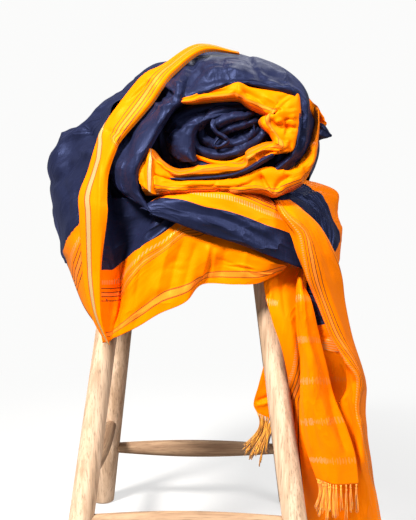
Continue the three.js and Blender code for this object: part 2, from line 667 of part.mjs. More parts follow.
// The knotted fringe along each piece of the sari's woven end: a narrow strip under the cloth's
// edge, and the strands that hang from it.
const stripDepth = 3;
const strandSides = 3;
function fringe(name, sheet, count, length, sway) {
  const last = sheet.length - 1;
  const edge = sheet[last];
  const drop = edge.map((p, j) => p.clone().sub(sheet[last - 1][j]).normalize());
  const strip = [seam, seam + stripDepth].map((reach) =>
    edge.map((p, j) => p.clone().addScaledVector(drop[j], reach)),
  );
  let body = solid(wallOf(strip, clothWall));
  for (let k = 0; k < count; k++) {
    const t = (k + 0.5) / count;
    const root = alongLine(edge, t);
    const way = alongLine(drop, t).normalize();
    const side = alongLine(edge, t + 0.02).sub(alongLine(edge, t - 0.02)).normalize();
    const face = side.clone().cross(way).normalize();
    const reach = length * (0.86 + 0.14 * Math.sin(k * 2.4));
    const rings = [0, 0.45, 1].map((share) => (angle) => {
      const hang = way.clone().lerp(new THREE.Vector3(0, 0, -1), share);
      const middle = root
        .clone()
        .addScaledVector(way, seam + stripDepth / 2)
        .addScaledVector(hang, reach * share)
        .addScaledVector(face, sway * share * Math.sin(k * 0.5 + share * 2))
        .addScaledVector(side, sway * share * Math.cos(k * 0.25 + share * 3));
      const radius = (fringeWidth / 2) * (1 - 0.35 * share);
      return middle
        .addScaledVector(side, radius * Math.cos(angle))
        .addScaledVector(face, -radius * Math.sin(angle));
    });
    body = body.add(solid(ringSolid(rings, strandSides)));
  }
  add(name, geometryOf(body), saffron);
}
fringe("fringe_panel", stretches.pallu_panel, 14, 66, 4);
fringe("fringe_corner", stretches.pallu_corner, 8, 70, 5);
fringe("fringe_back", stretches.pallu_back, 12, 68, 4);
fringe("fringe_band", stretches.pallu_band, 7, 68, 4);

// The hidden layers between the cloth and the seat: the fill under the blue cloth, the roll's plug
// behind its coil and the pad behind the swag, in one body, cut clear of all that it touches.
const fillRows = 11;
const liningThickness = 12;
const fillFloor = [
  // share along the sheet, x on the seat, how far the floor follows the cloth and not the seat
  { share: 0, x: 168, follow: 1 },
  { share: 0.1, x: 168, follow: 1 },
  { share: 0.2, x: 140, follow: 0 },
  { share: 0.66, x: -136, follow: 0 },
  { share: 0.8, x: -146, follow: 1 },
  { share: 1, x: -146, follow: 1 },
];
function floorAt(share) {
  const k = Math.max(
    1,
    fillFloor.findIndex((row) => row.share >= share),
  );
  const [a, b] = [fillFloor[k - 1], fillFloor[k]];
  const part = (share - a.share) / (b.share - a.share);
  return {
    x: THREE.MathUtils.lerp(a.x, b.x, part),
    follow: THREE.MathUtils.lerp(a.follow, b.follow, part),
  };
}
const fillReach = 12;
function fillUnder(points) {
  const rows = points.slice(0, fillRows + 1);
  const reach = rows[0].map((p, j) =>
    p.clone().addScaledVector(p.clone().sub(rows[1][j]).normalize(), fillReach),
  );
  rows.unshift(reach);
  const top = offset(rows, -clothWall / 2 - seam).slice(0, fillRows + 1);
  const lining = offset(rows, -clothWall / 2 - seam - liningThickness);
  const floor = top.map((row, i) =>
    row.map((p, j) => {
      const { x, follow } = floorAt(j / (row.length - 1));
      const y = THREE.MathUtils.clamp(p.y, -150, 190);
      const onSeat = new THREE.Vector3(x, y, seatHeight + 1);
      return onSeat.lerp(lining[i][j], follow);
    }),
  );
  return betweenSkins(top, floor);
}

const plugMiddle = { x: 52, z: 766 };
const plugRings = [
  // depth, half width, half height
  { depth: -60, across: 132, up: 100 },
  { depth: -128, across: 136, up: 104 },
  { depth: -146, across: 120, up: 88 },
  { depth: -156, across: 84, up: 58 },
  { depth: -160, across: 30, up: 20 },
];
const plug = ringSolid(
  plugRings.map(({ depth, across, up }) => (angle) =>
    new THREE.Vector3(
      plugMiddle.x + across * Math.cos(angle),
      depth,
      plugMiddle.z + up * Math.sin(angle),
    ),
  ),
  20,
);

const padRings = [
  // x, then the middle's depth and height, and the half sizes
  { x: -74, depth: -130, z: 640, through: 34, up: 28 },
  { x: -20, depth: -140, z: 640, through: 54, up: 54 },
  { x: 60, depth: -142, z: 636, through: 56, up: 58 },
  { x: 140, depth: -138, z: 626, through: 52, up: 64 },
  { x: 196, depth: -134, z: 608, through: 46, up: 66 },
  { x: 232, depth: -108, z: 604, through: 24, up: 38 },
];
const pad = ringSolid(
  padRings.map(({ x, depth, z, through, up }) => (angle) =>
    new THREE.Vector3(
      x,
      depth + through * Math.cos(angle),
      z + up * Math.sin(angle),
    ),
  ),
  14,
);

let hidden = solid(fillUnder(stretches.drape)).add(solid(plug)).add(solid(pad));
hidden = hidden.subtract(solid(seatGeometry(seam)));
for (const corner of Object.values(corners))
  hidden = hidden.subtract(solid(legGeometry(...corner, seam)));
for (const [name, points] of Object.entries(stretches)) {
  if (name === "drape") continue;
  const reach = clothWall / 2 + seam;
  const skins = [reach, -reach].map((d) => grown(offset(points, d), seam));
  hidden = hidden.subtract(solid(betweenSkins(...skins)));
}
add("hidden_layers", geometryOf(largest(hidden).simplify(0.1)), navy);

// The origin is moved under the middle of the whole.
const whole = new THREE.Box3().setFromObject(saree);
const middle = whole.getCenter(new THREE.Vector3());
for (const mesh of saree.children) mesh.geometry.translate(-middle.x, -middle.y, 0);

export default saree;
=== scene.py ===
import math
import random

import bpy
import numpy as np
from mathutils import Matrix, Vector


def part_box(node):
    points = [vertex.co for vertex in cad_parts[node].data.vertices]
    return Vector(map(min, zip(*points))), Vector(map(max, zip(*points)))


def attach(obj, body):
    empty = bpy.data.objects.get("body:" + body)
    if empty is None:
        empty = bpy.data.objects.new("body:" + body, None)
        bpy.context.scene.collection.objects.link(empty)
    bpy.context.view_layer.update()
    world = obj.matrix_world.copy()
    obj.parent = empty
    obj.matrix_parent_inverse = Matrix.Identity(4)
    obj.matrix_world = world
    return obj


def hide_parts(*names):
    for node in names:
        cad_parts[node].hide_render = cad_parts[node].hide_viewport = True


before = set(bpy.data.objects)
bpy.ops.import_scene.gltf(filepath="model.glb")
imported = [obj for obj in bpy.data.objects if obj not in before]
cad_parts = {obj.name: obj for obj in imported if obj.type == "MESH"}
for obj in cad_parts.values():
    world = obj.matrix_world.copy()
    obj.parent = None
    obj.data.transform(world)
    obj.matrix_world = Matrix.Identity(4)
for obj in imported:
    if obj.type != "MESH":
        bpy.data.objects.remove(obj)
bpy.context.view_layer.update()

# ---------------------------------------------------------------------------------------------
# The studio: a pale floor that fades into the white surround, three soft lights and the camera.
# The camera and the pieces are in millimetres from the stool's middle line, the rest in metres.
# ---------------------------------------------------------------------------------------------
MM = 0.001
seat_low, seat_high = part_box("seat")
stool_middle = (seat_low + seat_high) / 2 / MM
EYE = (30.0, -1770.0, 760.0)
TILT_DOWN = math.radians(7)
FILM_HEIGHT = 36
LENS = 66.46
SURROUND = (0.965, 0.965, 0.96, 1)
COOL_AIR = (0.90, 0.95, 1.0, 1)
SURROUND_LIGHT = 0.17


def placed(x, y, z):
    """A point of the tables, in metres in the part's frame."""
    return Vector((x + stool_middle.x, y + stool_middle.y, z)) * MM


camera = bpy.data.cameras.new("studio_camera")
camera.sensor_fit = "VERTICAL"
camera.sensor_height = FILM_HEIGHT
camera.lens = LENS
camera_object = bpy.data.objects.new("studio_camera", camera)
camera_object.location = placed(*EYE)
camera_object.rotation_euler = (math.pi / 2 - TILT_DOWN, 0, 0)
bpy.context.collection.objects.link(camera_object)
scene = bpy.context.scene
scene.camera = camera_object
scene.view_settings.view_transform = "Standard"


def inner_node(tree, kind, **settings):
    made = tree.nodes.new(kind)
    for key, value in settings.items():
        setattr(made, key, value)
    return made


def feed(tree, socket, value):
    if isinstance(value, bpy.types.NodeSocket):
        tree.links.new(value, socket)
    else:
        socket.default_value = value


def feed_all(tree, node, **values):
    """Feeds a node's sockets by name, with a capital and a space where the name has a line."""
    for name, value in values.items():
        feed(tree, node.inputs[name.replace("_", " ")], value)


def shown_mix(tree, share, first, second, output):
    """Two shaders mixed by a share, as what the tree gives out."""
    made = inner_node(tree, "ShaderNodeMixShader")
    for socket, value in zip(made.inputs, (share, first, second)):
        feed(tree, socket, value)
    feed(tree, tree.nodes[output].inputs["Surface"], made.outputs["Shader"])


# The surround is white to the eye and dim to the cloth, so that the lamps shape the folds.
world = bpy.data.worlds.new("white_surround")
world.use_nodes = True
air = world.node_tree
white = air.nodes["Background"]
feed_all(air, white, Color=SURROUND)
dimmed = inner_node(air, "ShaderNodeBackground")
feed_all(air, dimmed, Color=COOL_AIR, Strength=SURROUND_LIGHT)
seen = inner_node(air, "ShaderNodeLightPath").outputs["Is Camera Ray"]
shown_mix(air, seen, dimmed.outputs["Background"], white.outputs["Background"], "World Output")
scene.world = world


def soft_light(name, place, aim, size, power, colour):
    """A round lamp: where it hangs, what it faces, its width in metres and its watts."""
    light = bpy.data.lights.new(name, "AREA")
    light.shape = "DISK"
    light.size = size
    light.energy = power
    light.color = colour
    lamp = bpy.data.objects.new(name, light)
    lamp.location = place
    lamp.rotation_euler = (Vector(place) - Vector(aim)).to_track_quat("Z", "Y").to_euler()
    bpy.context.collection.objects.link(lamp)


soft_light("key", (-1.4, -1.8, 2.8), (0, 0, 0.6), 0.7, 255, (1.0, 0.985, 0.955))
soft_light("fill", (1.7, -1.8, 2.5), (0, 0, 0.5), 1.6, 84, (0.96, 0.98, 1.0))
soft_light("top", (0.4, 1.2, 2.4), (0, 0, 0.8), 1.2, 14, (1.0, 1.0, 1.0))

FLOOR_RINGS = (0.0, 1.2, 3.0, 9.0, 30.0)
FLOOR_SIDES = 48
FLOOR_DROP = 0.0005
FLOOR_PAINT = (0.82, 0.80, 0.78, 1)
FADE_FROM, FADE_TO = 0.3, 1.5
FADE_START = 0.62
floor_mesh = bpy.data.meshes.new("floor")
floor_points, floor_faces = [(0, 0, 0)], []
for ring, radius in enumerate(FLOOR_RINGS[1:]):
    for k in range(FLOOR_SIDES):
        turn = k / FLOOR_SIDES * math.tau
        floor_points.append((radius * math.cos(turn), radius * math.sin(turn), 0))
        after = (k + 1) % FLOOR_SIDES
        if ring == 0:
            floor_faces.append((0, 1 + k, 1 + after))
        else:
            inner, outer = 1 + (ring - 1) * FLOOR_SIDES, 1 + ring * FLOOR_SIDES
            floor_faces.append((inner + k, outer + k, outer + after, inner + after))
floor_mesh.from_pydata(floor_points, [], floor_faces)
floor = bpy.data.objects.new("floor", floor_mesh)
floor.location.z = -FLOOR_DROP
bpy.context.collection.objects.link(floor)

floor_paint = bpy.data.materials.new("pale_floor")
floor_paint.use_nodes = True
tree = floor_paint.node_tree
matt = tree.nodes["Principled BSDF"]
feed_all(tree, matt, Base_Color=FLOOR_PAINT, Roughness=0.85)
glow = inner_node(tree, "ShaderNodeEmission")
strength = inner_node(tree, "ShaderNodeMapRange")
seen = inner_node(tree, "ShaderNodeLightPath").outputs["Is Camera Ray"]
feed_all(tree, strength, Value=seen, To_Min=SURROUND_LIGHT)
feed_all(tree, glow, Color=SURROUND, Strength=strength.outputs["Result"])
reach = inner_node(tree, "ShaderNodeVectorMath", operation="LENGTH")
feed(tree, reach.inputs[0], inner_node(tree, "ShaderNodeTexCoord").outputs["Object"])
fade = inner_node(tree, "ShaderNodeMapRange", interpolation_type="SMOOTHSTEP")
feed_all(tree, fade, Value=reach.outputs["Value"], From_Min=FADE_FROM, From_Max=FADE_TO, To_Min=FADE_START)
shown_mix(tree, fade.outputs["Result"], matt.outputs["BSDF"], glow.outputs["Emission"], "Material Output")
floor_mesh.materials.append(floor_paint)

# ---------------------------------------------------------------------------------------------
# The stool's legs: four turned teak poles, splayed and a little uneven, bleached and bare, with
# their tops let into the seat and their feet eased by wear.
# ---------------------------------------------------------------------------------------------
SEAT_HEIGHT = 620
SEAT_THICKNESS = 36
LEG_SPREAD_TOP = 122
LEG_SPREAD_FOOT = 199
LEG_TURN = math.radians(-1.5)
LEG_RADIUS_TOP = 19
LEG_RADIUS_FOOT = 23
LEG_SIDES = 40


def maths(tree, operation, first, second=0.0, third=0.0):
    made = inner_node(tree, "ShaderNodeMath", operation=operation)
    for socket, value in zip(made.inputs, (first, second, third)):
        feed(tree, socket, value)
    return made.outputs[0]


def blended(tree, share, first, second, way="MIX"):
    made = inner_node(tree, "ShaderNodeMix", data_type="RGBA", blend_type=way)
    feed(tree, made.inputs["Factor"], share)
    feed(tree, made.inputs[6], first)
    feed(tree, made.inputs[7], second)
    return made.outputs[2]


def times(tree, first, second):
    return maths(tree, "MULTIPLY", first, second)


def plus(tree, first, second):
    return maths(tree, "ADD", first, second)


def minus(tree, first, second):
    return maths(tree, "SUBTRACT", first, second)


def eased(tree, value, low, high):
    made = inner_node(tree, "ShaderNodeMapRange", interpolation_type="SMOOTHSTEP")
    feed_all(tree, made, Value=value, From_Min=low, From_Max=high)
    return made.outputs["Result"]


def grained(tree, place, scale, detail=3.0, roughness=0.5, stretch=(1, 1, 1)):
    spread = inner_node(tree, "ShaderNodeVectorMath", operation="MULTIPLY")
    feed(tree, spread.inputs[0], place)
    feed(tree, spread.inputs[1], stretch)
    made = inner_node(tree, "ShaderNodeTexNoise")
    feed_all(tree, made, Vector=spread.outputs["Vector"], Scale=scale, Detail=detail, Roughness=roughness)
    return made.outputs["Fac"]


SOCKETS = {"place": "NodeSocketVector", "number": "NodeSocketFloat", "colour": "NodeSocketColor"}


def new_group(name, inputs, outputs):
    """A node group, with its sockets given as a label and the kind of value."""
    group = bpy.data.node_groups.new(name, "ShaderNodeTree")
    for in_out, sockets in (("INPUT", inputs), ("OUTPUT", outputs)):
        for label, kind in sockets.items():
            group.interface.new_socket(label, in_out=in_out, socket_type=SOCKETS[kind])
    entry = group.nodes.new("NodeGroupInput")
    leave = group.nodes.new("NodeGroupOutput")
    return group, entry.outputs, leave.inputs


def wood_grain_group():
    """Bleached wood: bands and pores along Z, a few knots, and patches that the sun has paled."""
    group, given, out = new_group(
        "weathered_grain",
        {"Place": "place", "Pale": "colour", "Warm": "colour", "Dark": "colour"},
        {"Color": "colour", "Roughness": "number", "Relief": "number"},
    )
    place, pale, dark = given["Place"], given["Pale"], given["Dark"]
    warp = grained(group, place, 9, 2, 0.5, (1, 1, 0.25))
    bands = grained(group, place, 95, 5, 0.62, (1, 1, 0.06))
    pores = grained(group, place, 520, 3, 0.6, (1, 1, 0.035))
    bleach = grained(group, place, 11, 3, 0.55, (1, 1, 0.5))
    knots = grained(group, place, 26, 1, 0.4, (1, 1, 0.3))
    tone = blended(group, eased(group, bands, 0.34, 0.66), given["Warm"], pale)
    tone = blended(group, times(group, eased(group, bleach, 0.42, 0.7), 0.45), tone, pale)
    streak = times(group, eased(group, pores, 0.52, 0.68), 0.5)
    tone = blended(group, streak, tone, dark)
    soiled = eased(group, plus(group, warp, times(group, knots, 0.35)), 0.72, 0.92)
    tone = blended(group, times(group, soiled, 0.35), tone, dark)
    feed(group, out["Color"], tone)
    feed(group, out["Roughness"], plus(group, 0.66, times(group, pores, 0.2)))
    feed(group, out["Relief"], plus(group, times(group, bands, 0.6), times(group, streak, -0.9)))
    return group


wood_grain = wood_grain_group()


def new_material(name, specular, **constants):
    """A material, its node tree and its shader, with the shader's own constants set."""
    material = bpy.data.materials.new(name)
    material.use_nodes = True
    tree = material.node_tree
    shader = tree.nodes["Principled BSDF"]
    feed_all(tree, shader, Specular_IOR_Level=specular, **constants)
    return material, tree, shader


def bumped(tree, height, strength, distance):
    bump = inner_node(tree, "ShaderNodeBump")
    feed_all(tree, bump, Strength=strength, Distance=distance, Height=height)
    return bump


def bare_teak(name, turned, pale, warm, dark):
    """Bleached teak whose grain runs up the piece, or along it once the place is turned."""
    material, tree, shader = new_material(name, 0.28)
    turn = inner_node(tree, "ShaderNodeMapping")
    place = inner_node(tree, "ShaderNodeTexCoord").outputs["Object"]
    feed_all(tree, turn, Rotation=turned, Vector=place)
    grain = inner_node(tree, "ShaderNodeGroup", node_tree=wood_grain)
    feed_all(tree, grain, Place=turn.outputs["Vector"], Pale=pale, Warm=warm, Dark=dark)
    bump = bumped(tree, grain.outputs["Relief"], 0.5, 0.0006)
    feed_all(
        tree, shader,
        Base_Color=grain.outputs["Color"], Roughness=grain.outputs["Roughness"],
        Normal=bump.outputs["Normal"],
    )
    return material


LEG_TONES = (0.74, 0.52, 0.355, 1), (0.46, 0.29, 0.175, 1), (0.11, 0.06, 0.033, 1)
teak_upright = bare_teak("teak_upright", (0, 0, 0), *LEG_TONES)


def mesh_piece(name, points, faces, material, slot, *nodes_replaced):
    """A shown piece from points in the tables' millimetres, which stands for those nodes."""
    mesh = bpy.data.meshes.new(name)
    corner = np.array([stool_middle.x, stool_middle.y, 0.0])
    mesh.from_pydata(((np.asarray(points) + corner) * MM).tolist(), [], faces)
    mesh.polygons.foreach_set("use_smooth", [True] * len(mesh.polygons))
    mesh.materials.append(material)
    piece = bpy.data.objects.new(name, mesh)
    bpy.context.collection.objects.link(piece)
    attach(piece, "root")
    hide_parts(*nodes_replaced)
    return piece


def ring_faces(rings, sides, closed_ends=True):
    faces = [
        (i * sides + k, i * sides + (k + 1) % sides, (i + 1) * sides + (k + 1) % sides, (i + 1) * sides + k)
        for i in range(rings - 1)
        for k in range(sides)
    ]
    if closed_ends:
        faces.append(tuple(reversed(range(sides))))
        faces.append(tuple((rings - 1) * sides + k for k in range(sides)))
    return faces


def leg_point(side_x, side_y, height):
    share = height / (SEAT_HEIGHT - SEAT_THICKNESS)
    spread = LEG_SPREAD_FOOT + (LEG_SPREAD_TOP - LEG_SPREAD_FOOT) * share
    x, y = side_x * spread, side_y * spread
    return np.array([
        x * math.cos(LEG_TURN) - y * math.sin(LEG_TURN),
        x * math.sin(LEG_TURN) + y * math.cos(LEG_TURN),
        height,
    ])


def leg_radius(height):
    share = height / (SEAT_HEIGHT - SEAT_THICKNESS)
    return LEG_RADIUS_FOOT + (LEG_RADIUS_TOP - LEG_RADIUS_FOOT) * share


LEG_TOP = SEAT_HEIGHT - SEAT_THICKNESS - 0.4
FOOT_EASE = 3.5
FOOT_ROUND = 3.2
LEG_SKIN = 0.25
LEG_RINGS = 46
BUMPS = 4
BUMP_DEPTH = 0.45
legs = {
    "leg_front_left": (-1, -1, 11),
    "leg_front_right": (1, -1, 12),
    "leg_rear_left": (-1, 1, 13),
    "leg_rear_right": (1, 1, 14),
}
for name, (side_x, side_y, seed) in legs.items():
    draw = random.Random(seed)
    bumps = [
        (
            draw.uniform(0, math.tau), draw.randint(2, 4), draw.uniform(0.008, 0.02),
            draw.uniform(0, 6), draw.choice((1, 2, 3)),
        )
        for _ in range(BUMPS)
    ]
    heights = [0, 0.8, 2.2, FOOT_EASE] + list(np.linspace(12, LEG_TOP - 1, LEG_RINGS)) + [LEG_TOP]
    points = []
    for height in heights:
        middle = leg_point(side_x, side_y, height)
        ease = max(0.0, 1 - height / FOOT_EASE)
        size = leg_radius(height) - LEG_SKIN - FOOT_ROUND * (1 - math.sqrt(max(0.0, 1 - ease * ease)))
        for k in range(LEG_SIDES):
            turn = k / LEG_SIDES * math.tau
            wobble = sum(
                amount * math.sin(times * turn + phase + math.sin(height / 140 + rise) * bend)
                for phase, times, amount, rise, bend in bumps
            )
            radius = size * (1 - 0.018 + BUMP_DEPTH * wobble)
            points.append(middle + np.array([radius * math.cos(turn), radius * math.sin(turn), 0]))
    mesh_piece(name + "_pole", points, ring_faces(len(heights), LEG_SIDES), teak_upright, "wood", name)

# ---------------------------------------------------------------------------------------------
# The rungs: four teak sticks, fat in the middle and tapered to the tenons that hold them in the
# legs, the side pair higher than the front and rear pair.
# ---------------------------------------------------------------------------------------------
RUNG_HEIGHT_FRONT = 112
RUNG_HEIGHT_REAR = 122
RUNG_HEIGHT_SIDE = 178
RUNG_RADIUS_END = 10
RUNG_RADIUS_MIDDLE = 18
RUNG_SIDES = 28
RUNG_RINGS = 40
RUNG_SKIN = 0.3
TENON_DEPTH = 3.0
# The rungs and the seat take darker teak tones than the legs: partly darker wood, partly painted shade, as
# the rungs sit low under the seat and the seat lies under the cloth.
RUNG_TONES_DARK_AND_SHADED = (0.42, 0.265, 0.155, 1), (0.26, 0.15, 0.085, 1), (0.09, 0.05, 0.026, 1)
teak_across_dark_and_shaded = bare_teak("teak_across_dark_and_shaded", (0, math.pi / 2, 0), *RUNG_TONES_DARK_AND_SHADED)
teak_through_dark_and_shaded = bare_teak("teak_through_dark_and_shaded", (math.pi / 2, 0, 0), *RUNG_TONES_DARK_AND_SHADED)
rungs = {
    "rung_front": ((1, -1), (-1, -1), RUNG_HEIGHT_FRONT, teak_across_dark_and_shaded),
    "rung_rear": ((1, 1), (-1, 1), RUNG_HEIGHT_REAR, teak_across_dark_and_shaded),
    "rung_left": ((-1, -1), (-1, 1), RUNG_HEIGHT_SIDE, teak_through_dark_and_shaded),
    "rung_right": ((1, -1), (1, 1), RUNG_HEIGHT_SIDE, teak_through_dark_and_shaded),
}
for seed, (name, (start, end, height, material)) in enumerate(rungs.items()):
    draw = random.Random(40 + seed)
    first, last = leg_point(*start, height), leg_point(*end, height)
    along = (last - first) / np.linalg.norm(last - first)
    sideways = np.cross([0, 0, 1], along)
    sideways /= np.linalg.norm(sideways)
    buried = (leg_radius(height) - TENON_DEPTH) / np.linalg.norm(last - first)
    phases = [draw.uniform(0, math.tau) for _ in range(3)]
    points = []
    shares = np.linspace(buried, 1 - buried, RUNG_RINGS)
    for share in shares:
        middle = first + (last - first) * share
        radius = RUNG_RADIUS_END + (RUNG_RADIUS_MIDDLE - RUNG_RADIUS_END) * math.sin(share * math.pi)
        for k in range(RUNG_SIDES):
            turn = k / RUNG_SIDES * math.tau
            wobble = 0.02 * math.sin(2 * turn + phases[0] + 3 * share)
            wobble += 0.015 * math.sin(3 * turn + phases[1] - 5 * share)
            size = (radius - RUNG_SKIN) * (0.975 + wobble * 0.7)
            points.append(middle + sideways * size * math.cos(turn) + np.array([0, 0, size * math.sin(turn)]))
    mesh_piece(name + "_stick", points, ring_faces(len(shares), RUNG_SIDES), material, "wood", name)

# ---------------------------------------------------------------------------------------------
# The seat: one thick teak board with sawn, rounded corners and edges worn soft, pegged down on
# the legs. The cloth lies over nearly all of it.
# ---------------------------------------------------------------------------------------------
SEAT_WIDTH = 300
SEAT_DEPTH = 290
SEAT_CORNER = 32
EDGE_ROUND = 5.0
EDGE_STEPS = 7
CORNER_STEPS = 14
SEAT_SKIN = 0.3


def seat_outline(inset, height):
    ring = []
    x, y, radius = SEAT_WIDTH / 2 - inset, SEAT_DEPTH / 2 - inset, SEAT_CORNER - inset * 0.6
    for quarter, (sx, sy) in enumerate(((1, 1), (-1, 1), (-1, -1), (1, -1))):
        for k in range(CORNER_STEPS):
            turn = quarter * math.pi / 2 + k / (CORNER_STEPS - 1) * math.pi / 2
            px = sx * (x - radius) + radius * math.cos(turn)
            py = sy * (y - radius) + radius * math.sin(turn)
            ring.append((
                px * math.cos(LEG_TURN) - py * math.sin(LEG_TURN),
                px * math.sin(LEG_TURN) + py * math.cos(LEG_TURN),
                height,
            ))
    return ring


seat_points = []
for upper in (False, True):
    for step in range(EDGE_STEPS):
        turn = step / (EDGE_STEPS - 1) * math.pi / 2
        lift, drop = (math.cos(turn), math.sin(turn)) if upper else (math.sin(turn), math.cos(turn))
        off = EDGE_ROUND * (1 - drop)
        height = SEAT_HEIGHT - off - SEAT_SKIN if upper else SEAT_HEIGHT - SEAT_THICKNESS + off
        seat_points += seat_outline(EDGE_ROUND * (1 - lift) + SEAT_SKIN, height)
seat_faces = ring_faces(2 * EDGE_STEPS, 4 * CORNER_STEPS)
# The seat board uses the rungs' darker teak, which is partly painted shade.
mesh_piece("seat_board", seat_points, seat_faces, teak_across_dark_and_shaded, "wood", "seat")

# ---------------------------------------------------------------------------------------------
# The saree's body where it lies over the top of the roll, hangs down the left side of the seat
# and falls over its back: midnight blue silk, plain woven, with slubs whose lighter streaks are painted
# sheen, and soft creases.
# ---------------------------------------------------------------------------------------------
FRONT_PLANE = -170.0
CLOTH_WALL = 0.8
BORDER_WIDTH = 136.0
CLOTH_WIDTH = 1150.0


def curve_weights(count, steps):
    """How much each of a row's points counts at each step of the smooth curve through them."""
    weights = np.zeros((steps + 1, count + 2))
    for k in range(steps + 1):
        at = k / steps * (count - 1)
        i = min(int(at), count - 2)
        t = at - i
        weights[k, i:i + 4] = (
            -0.5 * t + t * t - 0.5 * t ** 3,
            1 - 2.5 * t * t + 1.5 * t ** 3,
            0.5 * t + 2 * t * t - 1.5 * t ** 3,
            -0.5 * t * t + 0.5 * t ** 3,
        )
    weights[:, 1] += 2 * weights[:, 0]
    weights[:, 2] -= weights[:, 0]
    weights[:, -2] += 2 * weights[:, -1]
    weights[:, -3] -= weights[:, -1]
    return weights[:, 1:-1]


def spread_from_eye(table):
    """Points whose x and z are sizes on the roll's front plane, moved to their own depths."""
    table = np.array(table, float)
    share = (table[..., 1] - EYE[1]) / (FRONT_PLANE - EYE[1])
    table[..., 0] = EYE[0] + (table[..., 0] - EYE[0]) * share
    table[..., 2] = EYE[2] + (table[..., 2] - EYE[2]) * share
    return table


def sheet_grid(table, down, over):
    """The smooth surface through a table of sections."""
    sections = spread_from_eye(table)
    rows = curve_weights(sections.shape[0], down)
    columns = curve_weights(sections.shape[1], over)
    return np.einsum("ir,rck,jc->ijk", rows, sections, columns)


def grid_normals(points):
    down, over = np.empty_like(points), np.empty_like(points)
    down[1:-1] = points[2:] - points[:-2]
    down[0], down[-1] = points[1] - points[0], points[-1] - points[-2]
    over[:, 1:-1] = points[:, 2:] - points[:, :-2]
    over[:, 0], over[:, -1] = points[:, 1] - points[:, 0], points[:, -1] - points[:, -2]
    normals = np.cross(down, over)
    return normals / np.maximum(np.linalg.norm(normals, axis=2, keepdims=True), 1e-9)


def shares_of(points):
    rows, columns = points.shape[:2]
    return np.meshgrid(np.linspace(0, 1, rows), np.linspace(0, 1, columns), indexing="ij")


def broad_folds(points, folds):
    """Folds as the solids have them: from, to (shares down and along), height and width."""
    s, t = shares_of(points)
    rise = np.zeros_like(s)
    for (s0, t0), (s1, t1), height, width in folds:
        run_s, run_t = s1 - s0, t1 - t0
        share = np.clip(((s - s0) * run_s + (t - t0) * run_t) / (run_s ** 2 + run_t ** 2), 0, 1)
        away = np.hypot(s - s0 - share * run_s, t - t0 - share * run_t) / width
        rise += height * np.exp(-away ** 2)
    return points + grid_normals(points) * rise[..., None]


def seen_from_front(points):
    """Each point's x and z on the roll's front plane, as the tables give them."""
    share = (points[..., 1] - EYE[1]) / (FRONT_PLANE - EYE[1])
    return EYE[0] + (points[..., 0] - EYE[0]) / share, EYE[2] + (points[..., 2] - EYE[2]) / share


def line_distance(x, z, line):
    """Signed distance to a line of points (positive on its left), and the share along it."""
    line = np.array(line, float)
    lengths = np.linalg.norm(np.diff(line, axis=0), axis=1)
    total, before = lengths.sum(), 0.0
    best = np.full(x.shape, 1e9)
    signed = np.zeros_like(x)
    share = np.zeros_like(x)
    for (x0, z0), (x1, z1), length in zip(line[:-1], line[1:], lengths):
        run_x, run_z = (x1 - x0) / length, (z1 - z0) / length
        along = (x - x0) * run_x + (z - z0) * run_z
        held = np.clip(along, 0, length)
        away = np.hypot(x - x0 - held * run_x, z - z0 - held * run_z)
        side = np.sign(run_x * (z - z0) - run_z * (x - x0))
        nearer = away < best
        best = np.where(nearer, away, best)
        signed = np.where(nearer, away * side, signed)
        share = np.where(nearer, (before + held) / total, share)
        before += length
    return signed, share


CREASE_END = 0.22
CREASE_END_DEPTH = 0.12
LAP_EDGE = 1.6


def ease_ends(share):
    edge = np.clip(np.minimum(share, 1 - share) / CREASE_END, 0, 1)
    return CREASE_END_DEPTH + (1 - CREASE_END_DEPTH) * edge * edge * (3 - 2 * edge)


def raised(points, lines, columns, profile):
    """Lines on the front plane, each with a height and a width, raised between two columns."""
    x, z = seen_from_front(points)
    _, t = shares_of(points)
    rise = np.zeros_like(x)
    for line, height, width in lines:
        away, share = line_distance(x, z, line)
        rise += height * ease_ends(share) * profile(away, width)
    inside = (t >= columns[0]) & (t <= columns[1])
    return points + grid_normals(points) * (rise * inside)[..., None]


def creased(points, creases, columns=(0.0, 1.0)):
    """Creases listed one by one, in millimetres: a ridge where the height is positive, or a trough."""
    return raised(points, creases, columns, lambda away, width: np.exp(-(np.abs(away) / width) ** 1.5))


def lapped(points, laps, columns=(0.0, 1.0)):
    """One layer of a fold over the next: the cloth on the line's left stands proud of the cloth
    on its right by that height, and both ease back over the width."""
    return raised(points, laps, columns, lambda away, width: (
        0.5 * np.tanh(away / LAP_EDGE) * np.exp(-(np.abs(away) / width) ** 1.3)
    ))


def rippled(points, seed, count, height, width, lean, spread=0.5, where=((0, 1), (0, 1))):
    """Small creases of uneven length, depth and spacing, that lean and spread by those angles.
    Where is the part of the sheet that has them, as shares down it and along it."""
    s, t = shares_of(points)
    down = np.linalg.norm(np.diff(points, axis=0), axis=2).sum(0).mean()
    over = np.linalg.norm(np.diff(points, axis=1), axis=2).sum(1).mean()
    x, z = t * over, s * down
    draw = random.Random(seed)
    rise = np.zeros_like(x)
    for _ in range(count):
        middle = (draw.uniform(*where[1]) * over, draw.uniform(*where[0]) * down)
        turn = lean + draw.uniform(-spread, spread)
        half = draw.uniform(0.12, 0.42) * min(down, over) * 0.8
        bend = draw.uniform(-0.35, 0.35) * half
        way = (math.cos(turn), math.sin(turn))
        line = [
            (middle[0] - way[0] * half, middle[1] - way[1] * half),
            (middle[0] - way[1] * bend, middle[1] + way[0] * bend),
            (middle[0] + way[0] * half, middle[1] + way[1] * half),
        ]
        away, share = line_distance(x, z, line)
        size = height * draw.uniform(0.4, 1.0) * draw.choice((1, 1, -1))
        rise += size * ease_ends(share) * np.exp(-(np.abs(away) / (width * draw.uniform(0.6, 1.5))) ** 1.6)
    return points + grid_normals(points) * rise[..., None]


